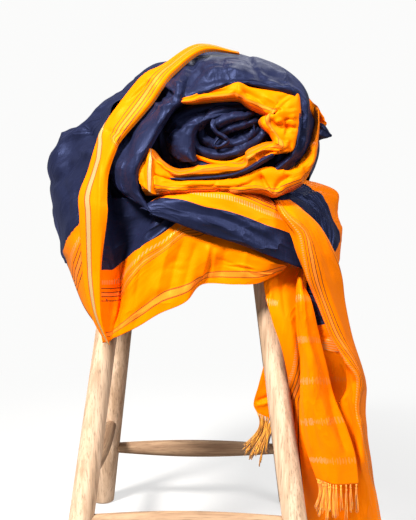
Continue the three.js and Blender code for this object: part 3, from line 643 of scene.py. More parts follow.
def weave_place(points, across, first_row=0.0):
    """Where each point lies on the flat saree, in metres: X across it from the nearer selvedge
    and Y along it. Across is a row or rows of (share, millimetres from the selvedge) down it."""
    rows, columns = points.shape[:2]
    knots = np.array(across, float)
    if knots.ndim == 2:
        knots = np.stack([knots, knots])
    at = np.linspace(0, len(knots) - 1, rows)
    low = np.minimum(at.astype(int), len(knots) - 2)
    part = (at - low)[:, None, None]
    knots = knots[low] * (1 - part) + knots[low + 1] * part
    t = np.linspace(0, 1, columns)
    x = np.stack([np.interp(t, row[:, 0], row[:, 1]) for row in knots])
    steps = np.linalg.norm(np.diff(points, axis=0), axis=2).mean(1)
    y = np.concatenate([[0], np.cumsum(steps)])[:, None] - first_row + np.zeros_like(x)
    return np.stack([x, y], axis=2) * MM


def closed_skin(outer, inner):
    """The points and faces of a closed body between two grids, joined all round their rims."""
    rows, columns = outer.shape[:2]
    index = np.arange(rows * columns).reshape(rows, columns)
    a, b = index[:-1, :-1].ravel(), index[1:, :-1].ravel()
    c, d = index[1:, 1:].ravel(), index[:-1, 1:].ravel()
    back = rows * columns
    rim = np.concatenate([index[0, :-1], index[:-1, -1], index[-1, :0:-1], index[:0:-1, 0]])
    after = np.roll(rim, -1)
    faces = np.concatenate([
        np.stack([a, b, c, d], 1),
        np.stack([a, d, c, b], 1) + back,
        np.stack([rim, after, after + back, rim + back], 1),
    ])
    return np.concatenate([outer.reshape(-1, 3), inner.reshape(-1, 3)]), faces


def cloth(node, points, place, material, slot=None, trim=False, wall=CLOTH_WALL):
    """A stretch of the saree as a thin closed shell on the grid, with its place on the flat saree
    as its UVs. It stands for the solid of that name, unless it is trim that only this file has."""
    half = grid_normals(points) * wall / 2
    both, faces = closed_skin(points + half, points - half)
    slot = slot or ("silk_blue" if material is blue_silk else "silk_saffron")
    name = node if node.startswith("coil_turn") else node + "_silk"
    piece = mesh_piece(name, both, faces.tolist(), material, slot, *([] if trim else [node]))
    flat = np.concatenate([place.reshape(-1, 2)] * 2)
    if material is blue_silk:
        piece.data.materials.append(saffron_silk)
        in_border = flat[faces, 0].mean(1) < BORDER_WIDTH * MM
        piece.data.polygons.foreach_set("material_index", in_border.astype(np.int32))
    layer = piece.data.uv_layers.new(name="flat_saree")
    layer.data.foreach_set("uv", flat[faces.ravel()].ravel())
    return piece


DASH_PITCH = 4.4
TICK_PITCH = 4.3
ROW_PITCH = 71.0
GOLD_STRIPE = (12.0, 19.0)
GOLD_LINES = (93.8, 99.4)
DASH_ROW = (113.0, 120.0)
STRIPE_EDGES = ((10.4, 12.0), (19.0, 20.6))
DARK_LINES = ((85.3, 87.0), (92.2, 93.8), (99.4, 101.0), (106.0, 107.7))
TICKS_BEGIN, TICKS_FADE = (190.0, 196.0), (236.0, 262.0)


def weave_group():
    """The saree's cloth by its place on the flat saree: the border's stripes, woven lines and
    dashes, the end piece's rows of dashes, and the slubs of the silk, real in the bump and roughness and
    painted lighter in the colour as painted sheen streaks."""
    colours = ("Body", "Body Slub", "Border", "Border Slub", "Gold", "Line")
    group, given, out = new_group(
        "saree_weave",
        {
            "Place": "place", "End Piece": "number", "Stripe Gold": "number",
            **dict.fromkeys(colours, "colour"),
        },
        {"Color": "colour", "Roughness": "number", "Relief": "number", "Gilt": "number"},
    )
    parts = inner_node(group, "ShaderNodeSeparateXYZ")
    feed(group, parts.inputs[0], given["Place"])
    across = times(group, parts.outputs["X"], 1 / MM)
    across = maths(group, "MINIMUM", across, minus(group, CLOTH_WIDTH, across))
    along = times(group, parts.outputs["Y"], 1 / MM)

    def band(low, high, soft=0.25):
        rise = eased(group, across, low - soft, low + soft)
        return minus(group, rise, eased(group, across, high - soft, high + soft))

    def either(masks):
        total = masks[0]
        for mask in masks[1:]:
            total = maths(group, "MAXIMUM", total, mask)
        return total

    # Mixes a plain colour toward its slub colour: the lighter slub colour is painted sheen streaks.
    def slubbed_with_sheen(slubs, clouds, plain, pale):
        share = plus(group, times(group, slub_and_sheen, slubs), times(group, cloudy, clouds))
        return blended(group, share, given[plain], given[pale])

    # The slub streaks: real thread texture in the bump and roughness, painted sheen where they lighten the
    # colour.
    weft = grained(group, given["Place"], 1, 3, 0.6, (1900, 45, 1))
    warp = grained(group, given["Place"], 1, 3, 0.6, (40, 1700, 1))
    slub_and_sheen = times(group, plus(group, eased(group, weft, 0.45, 0.8), eased(group, warp, 0.48, 0.8)), 0.5)
    cloudy = grained(group, given["Place"], 9, 3, 0.5)
    body = slubbed_with_sheen(0.7, 0.2, "Body", "Body Slub")
    border = slubbed_with_sheen(0.6, 0.25, "Border", "Border Slub")
    in_border = minus(group, 1.0, eased(group, across, BORDER_WIDTH - 0.5, BORDER_WIDTH + 0.5))
    tone = blended(group, maths(group, "MAXIMUM", in_border, given["End Piece"]), body, border)

    # The border's gilt: a stripe, whose gold share is partly painted glint set per material, a band of fine
    # lines and a row of dashes.
    dashes = eased(group, maths(group, "SINE", times(group, along, math.tau / DASH_PITCH)), -0.2, 0.5)
    stripe_mask_with_glint = times(group, band(*GOLD_STRIPE), given["Stripe Gold"])
    lines = times(group, band(*GOLD_LINES), 0.16)
    dash_row = times(group, times(group, band(*DASH_ROW, 0.5), dashes), 0.62)

    # The end piece's gilt: rows of uneven ticks across it.
    rows = maths(group, "FRACT", plus(group, maths(group, "DIVIDE", along, ROW_PITCH), 0.5))
    from_row = maths(group, "ABSOLUTE", minus(group, rows, 0.5))
    uneven = grained(group, given["Place"], 1, 2, 0.5, (260, 5, 1))
    in_row = maths(group, "LESS_THAN", from_row, times(group, eased(group, uneven, 0.3, 0.62), 0.095))
    ticks = eased(group, maths(group, "SINE", times(group, across, math.tau / TICK_PITCH)), -0.3, 0.35)
    fading = times(group, eased(group, across, *TICKS_FADE), 0.75)
    reach = minus(group, eased(group, across, *TICKS_BEGIN), fading)
    end_rows = times(group, times(group, times(group, in_row, ticks), reach), given["End Piece"])

    gold = either([stripe_mask_with_glint, lines, dash_row, times(group, end_rows, 0.85)])
    tone = blended(group, gold, tone, given["Gold"])
    edges = [times(group, band(*edge), 0.8) for edge in STRIPE_EDGES]
    dark = either(edges + [band(*line) for line in DARK_LINES])
    feed(group, out["Color"], blended(group, times(group, dark, 0.9), tone, given["Line"]))
    sheen = plus(group, 0.40, times(group, slub_and_sheen, 0.24))
    feed(group, out["Roughness"], minus(group, sheen, times(group, gold, 0.12)))
    feed(group, out["Relief"], plus(group, slub_and_sheen, times(group, gold, 0.9)))
    feed(group, out["Gilt"], times(group, gold, 0.25))
    return group


saree_weave = weave_group()


def crumple_group():
    """The height of the small sharp creases that handled silk keeps, by its place on the saree."""
    group, given, out = new_group("silk_crumple", {"Place": "place"}, {"Height": "number"})
    slack = grained(group, given["Place"], 13, 2, 0.5, (1.0, 0.6, 1))
    wide = grained(group, given["Place"], 19, 2, 0.5, (1.2, 0.55, 1))
    fine = grained(group, given["Place"], 70, 3, 0.55, (0.5, 1.2, 1))

    def ridged(value):
        far = times(group, maths(group, "ABSOLUTE", minus(group, value, 0.5)), 4.0)
        return minus(group, 1.0, maths(group, "POWER", maths(group, "MINIMUM", far, 1.0), 0.7))

    some = eased(group, slack, 0.42, 0.62)
    large = times(group, ridged(wide), plus(group, 0.25, some))
    small = times(group, times(group, ridged(fine), some), 0.10)
    feed(group, out["Height"], plus(group, large, small))
    return group


silk_crumple = crumple_group()


# The slub colours are lighter than the plain ones: painted sheen streaks on the slubs.
SILK_COLOURS = {
    "Body": (0.0066, 0.0080, 0.0225, 1),
    "Body_Slub": (0.027, 0.033, 0.086, 1),
    "Border": (0.93, 0.175, 0.0, 1),
    "Border_Slub": (1.0, 0.255, 0.0, 1),
    "Gold": (0.52, 0.345, 0.145, 1),
    "Line": (0.045, 0.018, 0.014, 1),
}
BLUE_SHEEN, BLUE_GLINT = (0.20, 0.24, 0.75, 1), (0.36, 0.46, 1.0, 1)
SAFFRON_SHEEN, SAFFRON_GLINT = (1.0, 0.45, 0.01, 1), (1.0, 0.50, 0.02, 1)


def silk(
    name, end_piece, stripe_gold_glint, specular, crumple,
    sheen=0.04, tint=SAFFRON_SHEEN, glint=SAFFRON_GLINT,
):
    """The saree's silk. An end piece is saffron all over, and the rest is blue past its border.
    Its stripe's gold, partly painted glint (near full on the pieces where the stripe shines, faint on the
    rest), its shine and its crumpling are the finish of that stretch."""
    material, tree, shader = new_material(
        name, specular, Specular_Tint=glint, Sheen_Weight=sheen, Sheen_Roughness=0.38, Sheen_Tint=tint,
    )
    place = inner_node(tree, "ShaderNodeUVMap", uv_map="flat_saree").outputs["UV"]
    weave = inner_node(tree, "ShaderNodeGroup", node_tree=saree_weave)
    feed_all(tree, weave, Place=place, End_Piece=end_piece, Stripe_Gold=stripe_gold_glint, **SILK_COLOURS)
    creases = inner_node(tree, "ShaderNodeGroup", node_tree=silk_crumple)
    feed_all(tree, creases, Place=place)
    folded = bumped(tree, creases.outputs["Height"], 1.0, crumple * MM)
    bump = bumped(tree, weave.outputs["Relief"], 0.35, 0.0004)
    feed_all(tree, bump, Normal=folded.outputs["Normal"])
    feed_all(
        tree, shader,
        Base_Color=weave.outputs["Color"], Roughness=weave.outputs["Roughness"],
        Metallic=weave.outputs["Gilt"], Normal=bump.outputs["Normal"],
    )
    return material


# After the name: the end piece, the stripe's gold (partly painted glint), the shine and the crumpling in
# millimetres.
blue_silk = silk("blue_silk", 0.0, 0.1, 0.24, 6.5, 0.06, BLUE_SHEEN, BLUE_GLINT)
saffron_silk = silk("saffron_silk", 0.0, 0.1, 0.25, 2.0)
# The stripe near full gold: the zari's own gold with a painted glint, for the pieces where the stripe shines.
glinting_stripe_silk = silk("saffron_silk_painted_glint_stripe", 0.0, 0.95, 0.3, 0.5)
end_silk = silk("end_piece_silk", 1.0, 0.1, 0.25, 2.0)

DRAPE_BODY = [
    # tuck, tail, brow, crown, shoulder, flank, waist, hip, belly, knee, hem
    [[194, -84, 770], [197, -92, 806], [150, -100, 864], [70, -104, 898], [-20, -110, 896],
     [-72, -118, 866], [-106, -122, 832], [-146, -132, 774], [-160, -146, 700], [-164, -168, 600],
     [-146, -190, 436]],
    [[200, -50, 750], [204, -55, 798], [155, -55, 869], [70, -55, 900], [-28, -60, 888], [-84, -62, 856],
     [-130, -66, 808], [-172, -72, 770], [-206, -85, 695], [-205, -100, 600], [-180, -128, 485]],
    [[200, 0, 712], [212, 0, 772], [158, 0, 866], [70, 0, 902], [-30, 0, 892], [-92, 0, 862],
     [-150, 0, 810], [-204, 0, 784], [-231, 0, 700], [-222, 0, 630], [-204, 0, 550]],
    [[196, 70, 690], [212, 70, 758], [158, 70, 860], [70, 70, 896], [-30, 70, 884], [-94, 70, 850],
     [-148, 70, 800], [-194, 70, 770], [-225, 70, 695], [-222, 70, 625], [-210, 70, 560]],
    [[188, 145, 680], [205, 145, 740], [150, 140, 845], [68, 140, 880], [-25, 140, 868], [-88, 140, 834],
     [-140, 140, 790], [-186, 140, 758], [-215, 140, 690], [-214, 140, 630], [-208, 136, 575]],
    [[172, 196, 668], [186, 200, 718], [138, 204, 790], [65, 206, 818], [-18, 206, 806], [-78, 204, 784],
     [-126, 200, 752], [-168, 194, 716], [-196, 184, 668], [-204, 172, 618], [-206, 160, 568]],
    [[164, 204, 640], [178, 212, 672], [132, 220, 720], [62, 222, 738], [-16, 220, 730], [-74, 216, 716],
     [-120, 212, 694], [-160, 204, 668], [-190, 192, 636], [-202, 178, 600], [-205, 164, 562]],
    [[162, 206, 612], [172, 214, 636], [128, 222, 662], [62, 224, 668], [-14, 220, 664], [-72, 218, 658],
     [-118, 212, 646], [-156, 204, 630], [-186, 190, 608], [-200, 176, 584], [-204, 164, 556]],
    [[160, 206, 580], [168, 214, 590], [126, 222, 604], [62, 222, 606], [-12, 218, 602], [-71, 216, 600],
     [-115, 210, 596], [-153, 202, 588], [-183, 189, 576], [-198, 175, 564], [-202, 163, 552]],
    [[160, 204, 556], [166, 212, 558], [124, 218, 554], [62, 220, 549], [-12, 216, 548], [-70, 214, 552],
     [-114, 208, 553], [-151, 200, 549], [-181, 188, 547], [-196, 174, 549], [-200, 162, 548]],
]
DRAPE_FOLDS = [
    # from, to, height, width
    [(0.28, 0.72), (0.02, 0.88), 7, 0.05],
    [(0.3, 0.62), (0.06, 0.8), -8, 0.05],
    [(0.1, 0.3), (0.55, 0.42), 5, 0.05],
    [(0.62, 0.1), (1.0, 0.14), 9, 0.05],
    [(0.6, 0.3), (1.0, 0.3), -8, 0.06],
    [(0.58, 0.5), (1.0, 0.48), 9, 0.06],
    [(0.62, 0.66), (1.0, 0.68), -7, 0.05],
    [(0.42, 0.15), (0.86, 0.22), 6, 0.03],
    [(0.50, 0.86), (0.96, 0.74), 7, 0.03],
    [(0.30, 0.92), (0.62, 0.95), -6, 0.03],
    [(0.46, 0.33), (0.82, 0.40), -6, 0.025],
    [(0.20, 0.46), (0.52, 0.40), 4, 0.03],
    [(0.55, 0.58), (0.92, 0.60), 6, 0.025],
]
DRAPE_CREASES = [
    # line on the front plane, height, width
    [[(-238, 709), (-208, 759), (-182, 778), (-157, 798), (-122, 823), (-100, 842)], 11, 9],
    [[(-232, 738), (-205, 775), (-178, 795), (-150, 812)], -8, 8],
    [[(-215, 783), (-210, 774), (-210, 760)], 5, 5],
    [[(-170, 790), (-160, 757), (-150, 745)], -9, 8],
    [[(-184, 742), (-166, 744), (-150, 735)], 7, 7],
    [[(-240, 690), (-216, 700), (-190, 735)], -8, 8],
    [[(-226, 712), (-200, 728), (-176, 732)], 6, 6],
    [[(-200, 640), (-205, 600), (-214, 560)], 5, 8],
    [[(-188, 690), (-186, 640), (-190, 590)], -6, 9],
    [[(-223, 660), (-222, 620), (-226, 585)], 5, 6],
    [[(-212, 700), (-206, 670), (-206, 630)], -5, 7],
    [[(-150, 800), (-124, 812), (-104, 826)], 5, 5],
    [[(-120, 836), (-96, 852), (-70, 872)], -5, 6],
]
DRAPE_BORDER_ROW = 13 / 16
drape_down, drape_over = 176, 150
drape = broad_folds(sheet_grid(DRAPE_BODY, drape_down, drape_over), DRAPE_FOLDS)
drape = creased(drape, DRAPE_CREASES, (0.5, 1.0))
drape = rippled(drape, 5, 34, 2.2, 7, 0.2, 1.2, ((0.15, 0.98), (0.0, 1.0)))
split = int(round(drape_down * DRAPE_BORDER_ROW))
drape_across = [
    # down the cloth, the shares of each section at which the blue and the woven lines end
    [(0, 600), (0.84, 142), (0.857, 136), (0.885, 107), (0.91, 86), (1, 14)],
    [(0, 600), (0.88, 142), (0.903, 136), (0.935, 107), (0.965, 86), (1, 52)],
    [(0, 600), (0.94, 160), (0.95, 142), (0.965, 136), (0.99, 124), (1, 118)],
    [(0, 600), (0.94, 216), (0.95, 212), (0.97, 206), (0.99, 198), (1, 190)],
] + [[(0, 600), (0.94, 306), (0.95, 304), (0.97, 298), (0.99, 290), (1, 280)]] * 5
over_roll = drape[:split + 1]
drape_body = cloth("drape_body", over_roll, weave_place(over_roll, drape_across), blue_silk)

rear = drape[split:]
rear_place = weave_place(rear, [(0, 0), (1, 0)])
rear_steps = np.linalg.norm(np.diff(rear, axis=0), axis=2)
rear_drop = np.concatenate([np.zeros((1, rear.shape[1])), np.cumsum(rear_steps, axis=0)])
rear_run = np.concatenate([[0], np.cumsum(np.linalg.norm(np.diff(rear, axis=1), axis=2).mean(0))])
rear_place[..., 0] = (BORDER_WIDTH - rear_drop) * MM
rear_place[..., 1] = rear_run[None, :] * MM
rear_border = cloth("rear_border", rear, rear_place, saffron_silk)

# ---------------------------------------------------------------------------------------------
# The saffron border along that cloth's front edge, woven in one with it, with a gold stripe
# near its selvedge whose pale gold is partly painted glint, and folded over lengthwise near the top of the
# roll.
# ---------------------------------------------------------------------------------------------
DRAPE_BORDER = [
    # left, middle, fold, turned edge
    [[77, -112, 907], [79, -116, 907], [81, -118, 905], [82, -114, 902]],
    [[12, -122, 919], [17, -130, 918], [22, -136, 912], [24, -132, 905]],
    [[-45, -126, 886], [-36, -136, 885], [-28, -146, 878], [-24, -142, 870]],
    [[-72, -134, 873], [-60, -146, 866], [-50, -156, 852], [-44, -152, 846]],
    [[-95, -132, 850], [-81, -146, 840], [-70, -159, 824], [-64, -155, 818]],
    [[-143, -142, 787], [-130, -156, 780], [-118, -170, 769], [-111, -166, 765]],
    [[-156, -150, 756], [-142, -164, 753], [-130, -177, 748], [-122, -173, 745]],
    [[-170, -158, 712], [-156, -172, 711], [-144, -182, 709], [-135, -178, 707]],
    [[-185, -166, 673], [-168, -182, 671], [-150, -192, 669], [-138, -188, 667]],
    [[-185, -174, 638], [-167, -190, 638], [-150, -198, 638], [-138, -194, 637]],
    [[-182, -178, 562], [-167, -192, 560], [-153, -198, 558], [-149, -194, 557]],
    [[-178, -184, 512], [-165, -197, 508], [-154, -202, 503], [-150, -198, 500]],
    [[-166, -192, 465], [-158, -201, 462], [-151, -205, 458], [-148, -201, 456]],
    [[-146, -198, 426], [-142, -202, 422], [-139, -204, 419], [-137, -200, 418]],
]
points = sheet_grid(DRAPE_BORDER, 220, 30)
points = creased(points, [
    [[(-57, 868), (-83, 842), (-117, 814)], -3, 3],
    [[(-70, 862), (-100, 830), (-130, 794)], 2.5, 4],
    [[(-108, 778), (-125, 775), (-142, 780)], -2.5, 4],
    [[(-141, 742), (-148, 720), (-150, 690), (-151, 650), (-152, 600)], 2.0, 2.5],
    [[(-160, 560), (-158, 520), (-152, 470)], -1.5, 4],
])
border_across = [
    [(0, 50), (0.20, 78), (0.24, 84), (0.60, 108), (1, 118)],
    [(0, 50), (0.20, 78), (0.24, 84), (0.60, 108), (1, 118)],
    [(0, 46), (0.20, 74), (0.24, 84), (0.60, 108), (1, 118)],
    [(0, 34), (0.24, 62), (0.28, 84), (0.62, 108), (1, 116)],
    [(0, 14), (0.34, 34), (0.38, 84), (0.64, 104), (1, 112)],
    [(0, 2), (0.4, 22), (0.5, 28), (0.53, 30), (1, 58)],
    [(0, 0), (0.4, 22), (0.5, 28), (0.53, 30), (1, 58)],
    [(0, 0), (0.4, 22), (0.5, 28), (0.53, 30), (1, 58)],
    [(0, 0), (0.4, 22), (0.5, 28), (0.53, 30), (1, 58)],
    [(0, 0), (0.4, 19), (0.5, 24), (0.53, 26), (1, 50)],
    [(0, 0), (0.4, 10), (0.5, 12), (0.53, 13), (1, 26)],
]
drape_border = cloth("drape_border", points, weave_place(points, border_across), glinting_stripe_silk)

# ---------------------------------------------------------------------------------------------
# The roll's outer wrap: a broad turn of the blue cloth round the coil, folded over at its front
# edge, with a sharp pinch at the upper left and soft parallel folds down the right.
# ---------------------------------------------------------------------------------------------
OUTER_WRAP = [
    # lining, rim, brow, shoulder
    [[-67, -200, 645], [-65, -213, 643], [-68, -212, 645], [-71, -206, 648]],
    [[-70, -186, 654], [-70, -211, 652], [-80, -203, 655], [-88, -186, 660]],
    [[-76, -168, 667], [-79, -207, 665], [-98, -190, 667], [-112, -150, 674]],
    [[-82, -150, 686], [-87, -205, 682], [-115, -181, 686], [-132, -126, 698]],
    [[-83, -150, 715], [-88, -206, 715], [-118, -181, 721], [-136, -124, 728]],
    [[-68, -150, 743], [-73, -204, 745], [-100, -179, 752], [-120, -116, 757]],
    [[-48, -150, 778], [-53, -200, 782], [-76, -175, 788], [-94, -110, 788]],
    [[-25, -150, 810], [-30, -196, 815], [-50, -171, 822], [-64, -106, 822]],
    [[-2, -148, 825], [-7, -190, 830], [-23, -165, 850], [-31, -102, 866]],
    [[34, -148, 839], [30, -187, 843], [20, -162, 878], [11, -112, 898]],
    [[80, -148, 854], [80, -186, 858], [79, -160, 885], [77, -107, 900]],
    [[126, -148, 844], [130, -186, 848], [135, -164, 871], [140, -106, 887]],
    [[165, -148, 831], [169, -187, 836], [178, -168, 847], [184, -104, 855]],
    [[175, -150, 805], [179, -189, 807], [195, -172, 810], [203, -100, 812]],
    [[174, -150, 766], [178, -191, 765], [195, -174, 770], [204, -94, 775]],
    [[163, -152, 741], [167, -193, 738], [180, -176, 737], [191, -110, 738]],
    [[141, -152, 724], [142, -196, 714], [152, -182, 714], [162, -146, 712]],
]
points = sheet_grid(OUTER_WRAP, 220, 58)
points = lapped(points, [
    [[(-17, 822), (-12, 858), (0, 884), (10, 900)], 12, 16],
    [[(-26, 822), (-34, 846), (-44, 872)], -7, 10],
    [[(96, 900), (108, 882), (126, 858)], 6, 14],
    [[(198, 845), (206, 806), (203, 772), (190, 738)], 7, 9],
    [[(180, 846), (192, 806), (192, 768), (178, 730)], 8, 8],
], (0.3, 1.0))
points = creased(points, [
    [[(-37, 866), (-26, 858), (-14, 852)], 4, 4],
    [[(-60, 826), (-46, 816), (-22, 824)], 5, 4],
    [[(-58, 846), (-50, 828), (-44, 818)], -5, 5],
    [[(-36, 836), (-30, 846), (-22, 856)], -5, 4],
    [[(-70, 800), (-84, 770), (-94, 730)], 3, 9],
    [[(-96, 780), (-106, 750), (-110, 715)], -4, 8],
    [[(-8, 846), (6, 866), (22, 884)], -7, 7],
    [[(20, 872), (60, 880), (100, 876)], 4, 9],
    [[(10, 856), (60, 866), (110, 862)], -5, 8],
    [[(100, 899), (138, 877), (176, 853)], 4, 4],
    [[(110, 884), (140, 866), (168, 848)], -4, 5],
    [[(130, 860), (150, 850), (172, 842)], 3, 4],
    [[(174, 836), (186, 806), (186, 770), (174, 738)], -4, 3],
    [[(186, 836), (198, 806), (198, 772)], 3, 3],
    [[(128, 742), (138, 718), (152, 730)], 4, 4],
    [[(-46, 872), (-34, 850), (-20, 838)], 6, 4],
    [[(-18, 846), (-40, 838), (-62, 842)], -6, 5],
    [[(-2, 872), (-14, 850), (-20, 830)], 6, 5],
    [[(48, 898), (60, 872), (66, 858)], -4, 6],
    [[(150, 876), (160, 850), (176, 838)], 5, 4],
    [[(196, 826), (200, 800), (192, 760)], -6, 4],
], (0.3, 1.0))
points = rippled(points, 14, 26, 1.6, 4, 1.5, 0.7, ((0.02, 0.98), (0.3, 0.95)))
outer_wrap = cloth("outer_wrap", points, weave_place(points, [(0, 300), (1, 420)]), blue_silk)

# ---------------------------------------------------------------------------------------------
# The saffron layer inside it: the border of the next turn, crumpled and folded back on itself
# all round the mouth of the roll.
# ---------------------------------------------------------------------------------------------
COLLAR_WRAP = [
    # root, outer edge, ridge, inner edge, lining
    [[-22, -150, 825], [-24, -184, 826], [-24, -187, 825.5], [-24, -187, 825], [-22, -158, 823]],
    [[-11, -150, 830], [-12, -184, 832], [-12, -189, 829], [-11, -188, 825], [-9, -158, 822]],
    [[4, -150, 834], [4, -184, 837], [5, -190, 833], [6, -187, 826], [8, -158, 821]],
    [[19, -150, 841], [19, -183, 844], [21, -187, 838], [22, -187, 830], [24, -158, 822]],
    [[50, -150, 844], [50, -181, 848], [52, -184, 842], [53, -188, 833], [56, -158, 824]],
    [[77, -150, 855], [77, -180, 859], [78, -192, 847], [78, -186, 834], [80, -158, 824]],
    [[98, -150, 845], [99, -181, 849], [99, -186, 836], [98, -190, 822], [96, -160, 814]],
    [[138, -150, 840], [139, -182, 844], [132, -192, 828], [124, -190, 811], [119, -160, 804]],
    [[172, -150, 838], [174, -183, 841], [156, -189, 823], [133, -196, 806], [124, -162, 798]],
    [[178, -152, 819], [181, -186, 820], [152, -197, 810], [121, -192, 801], [114, -164, 796]],
    [[177, -152, 789], [180, -188, 789], [152, -193, 788], [123, -198, 788], [116, -166, 786]],
    [[172, -154, 766], [176, -190, 765], [158, -199, 767], [140, -196, 770], [132, -166, 772]],
    [[165, -154, 747], [168, -192, 745], [157, -196, 751], [146, -199, 757], [138, -168, 762]],
    [[144, -156, 744], [145, -194, 740], [137, -201, 747], [128, -198, 753], [126, -168, 760]],
    [[124, -158, 737], [124, -194, 731], [121, -198, 740], [117, -202, 748], [114, -168, 756]],
    [[100, -160, 722], [100, -192, 716], [99, -200, 728], [98, -200, 738], [94, -168, 746]],
    [[88, -160, 712], [89, -196, 707], [89, -202, 714], [89, -202, 722], [86, -168, 730]],
    [[51, -162, 704], [51, -196, 699], [51, -203, 709], [51, -202, 718], [50, -168, 726]],
    [[16, -162, 702], [16, -196, 697], [17, -202, 706], [19, -203, 715], [18, -166, 722]],
    [[-25, -160, 702], [-26, -194, 697], [-24, -202, 702], [-21, -203, 709], [-18, -164, 716]],
    [[-52, -158, 706], [-56, -190, 703], [-50, -200, 712], [-46, -200, 726], [-42, -162, 728]],
    [[-72, -156, 716], [-78, -186, 712], [-72, -197, 728], [-65, -192, 748], [-58, -160, 746]],
]
points = sheet_grid(COLLAR_WRAP, 270, 56)
points = lapped(points, [
    [[(-14, 826), (6, 830), (22, 838), (52, 840), (74, 842)], 3.5, 7],
    [[(78, 858), (79, 846), (76, 832)], -5, 12],
    [[(134, 806), (150, 826), (168, 838)], 5, 10],
    [[(134, 806), (148, 790), (178, 786)], -6, 10],
    [[(124, 799), (132, 778), (147, 764), (166, 752)], 6, 8],
    [[(150, 804), (158, 786), (156, 768)], 5, 7],
    [[(98, 742), (112, 734), (126, 742)], 4, 6],
    [[(104, 744), (126, 716), (141, 700)], 6, 6],
    [[(152, 730), (140, 716), (126, 700)], -6, 6],
    [[(146, 820), (160, 812), (176, 814)], 5, 6],
    [[(178, 800), (160, 800), (146, 792)], 5, 7],
], (0.16, 0.84))
points = creased(points, [
    [[(84, 846), (112, 830), (132, 812)], 4, 4],
    [[(92, 838), (116, 820), (134, 804)], -4, 3],
    [[(120, 838), (140, 824), (150, 806)], -4, 5],
    [[(134, 806), (142, 812), (154, 814)], 5, 3],
    [[(134, 806), (140, 796), (152, 794)], -5, 3],
    [[(152, 790), (164, 784), (178, 783)], 3, 4],
    [[(166, 806), (170, 790), (168, 772)], -3, 5],
    [[(126, 788), (138, 776), (150, 760)], -3, 3],
    [[(146, 746), (126, 742), (104, 730)], 3, 3],
    [[(80, 712), (40, 704), (-10, 701)], 2, 2.5],
    [[(90, 716), (50, 711), (0, 707)], -2, 2.5],
    [[(-30, 704), (-50, 716), (-64, 738)], 4, 4],
    [[(-40, 702), (-60, 712), (-72, 728)], -4, 4],
    [[(-24, 722), (20, 716), (60, 718), (90, 730), (118, 746)], -5, 3],
    [[(-58, 748), (-50, 724), (-34, 712)], 5, 5],
    [[(124, 770), (142, 758), (160, 754)], -6, 4],
    [[(140, 742), (152, 752), (166, 762)], -5, 3.5],
], (0.16, 0.84))
points = rippled(points, 12, 34, 1.5, 3.5, 1.3, 0.6, ((0.25, 0.98), (0.2, 0.8)))
collar_across = [(0, 74), (0.25, 66), (0.5, 40), (0.75, 4), (1, 30)]
collar_wrap = cloth("collar_wrap", points, weave_place(points, collar_across), saffron_silk)

# The blue of the next turn, which shows as a thin line between that layer's lower folds.
COLLAR_LINE = [
    # upper edge, crest, lower edge
    [[-34, -198, 702], [-33, -204, 700], [-32, -198, 698]],
    [[-4, -200, 702], [-4, -207, 699], [-4, -200, 696]],
    [[34, -200, 705], [34, -208, 702], [34, -200, 698]],
    [[68, -200, 709], [69, -208, 706], [70, -200, 702]],
    [[96, -200, 719], [97, -208, 716], [98, -200, 711]],
    [[118, -198, 733], [120, -207, 730], [122, -198, 725]],
    [[134, -196, 742], [138, -204, 740], [140, -196, 736]],
]
points = sheet_grid(COLLAR_LINE, 110, 12)
collar_line = cloth("collar_line", points, weave_place(points, [(0, 300), (1, 318)]), blue_silk, trim=True)

# The corner of that layer at the mouth's lower left, turned up on itself, with its gilt stripe painted near
# full gold, partly as painted glint.
COLLAR_CORNER = [
    # left, middle, right, behind
    [[-68, -190, 750], [-66, -197, 749], [-62, -192, 746], [-58, -176, 740]],
    [[-76, -196, 732], [-70, -203, 730], [-63, -198, 728], [-56, -180, 722]],
    [[-84, -198, 716], [-73, -206, 712], [-61, -203, 708], [-52, -184, 704]],
    [[-86, -200, 704], [-73, -209, 696], [-60, -207, 690], [-46, -186, 688]],
    [[-84, -202, 692], [-72, -210, 682], [-60, -209, 674], [-42, -188, 676]],
]
points = sheet_grid(COLLAR_CORNER, 70, 44)
points = creased(points, [
    [[(-66, 744), (-66, 710), (-62, 676)], 4, 3],
    [[(-74, 740), (-78, 710), (-74, 684)], -2.5, 4],
], (0.0, 0.8))
corner_across = [(0, 44), (0.3, 26), (0.66, 4), (1, 30)]
collar_corner = cloth("collar_corner", points, weave_place(points, corner_across), glinting_stripe_silk, trim=True)

# ---------------------------------------------------------------------------------------------
# The coil inside the roll's mouth: a smooth blue fold on its left with a bright turned rim, and
# one and a half turns of the same cloth that wind inwards.
# ---------------------------------------------------------------------------------------------
INNER_FOLD = [
    # root, crest, rim, lining
    [[-11, -130, 730], [-15, -168, 728], [8, -188, 728], [13, -150, 732]],
    [[-25, -130, 742], [-30, -166, 740], [2, -189, 740], [12, -150, 742]],
    [[-30, -130, 759], [-37, -164, 759], [0, -189, 756], [11, -150, 758]],
    [[-28, -130, 775], [-34, -160, 777], [2, -187, 776], [12, -150, 773]],
    [[-13, -130, 790], [-19, -157, 796], [12, -183, 790], [21, -150, 784]],
    [[10, -130, 802], [8, -155, 808], [33, -177, 799], [38, -150, 792]],
    [[42, -130, 808], [42, -152, 813], [57, -171, 805], [59, -148, 797]],
    [[76, -130, 808], [78, -150, 811], [83, -168, 805], [82, -148, 796]],
    [[101, -130, 796], [105, -148, 798], [103, -166, 792], [97, -146, 787]],
    [[108, -130, 777], [112, -148, 777], [108, -164, 776], [101, -146, 776]],
]
points = sheet_grid(INNER_FOLD, 170, 54)
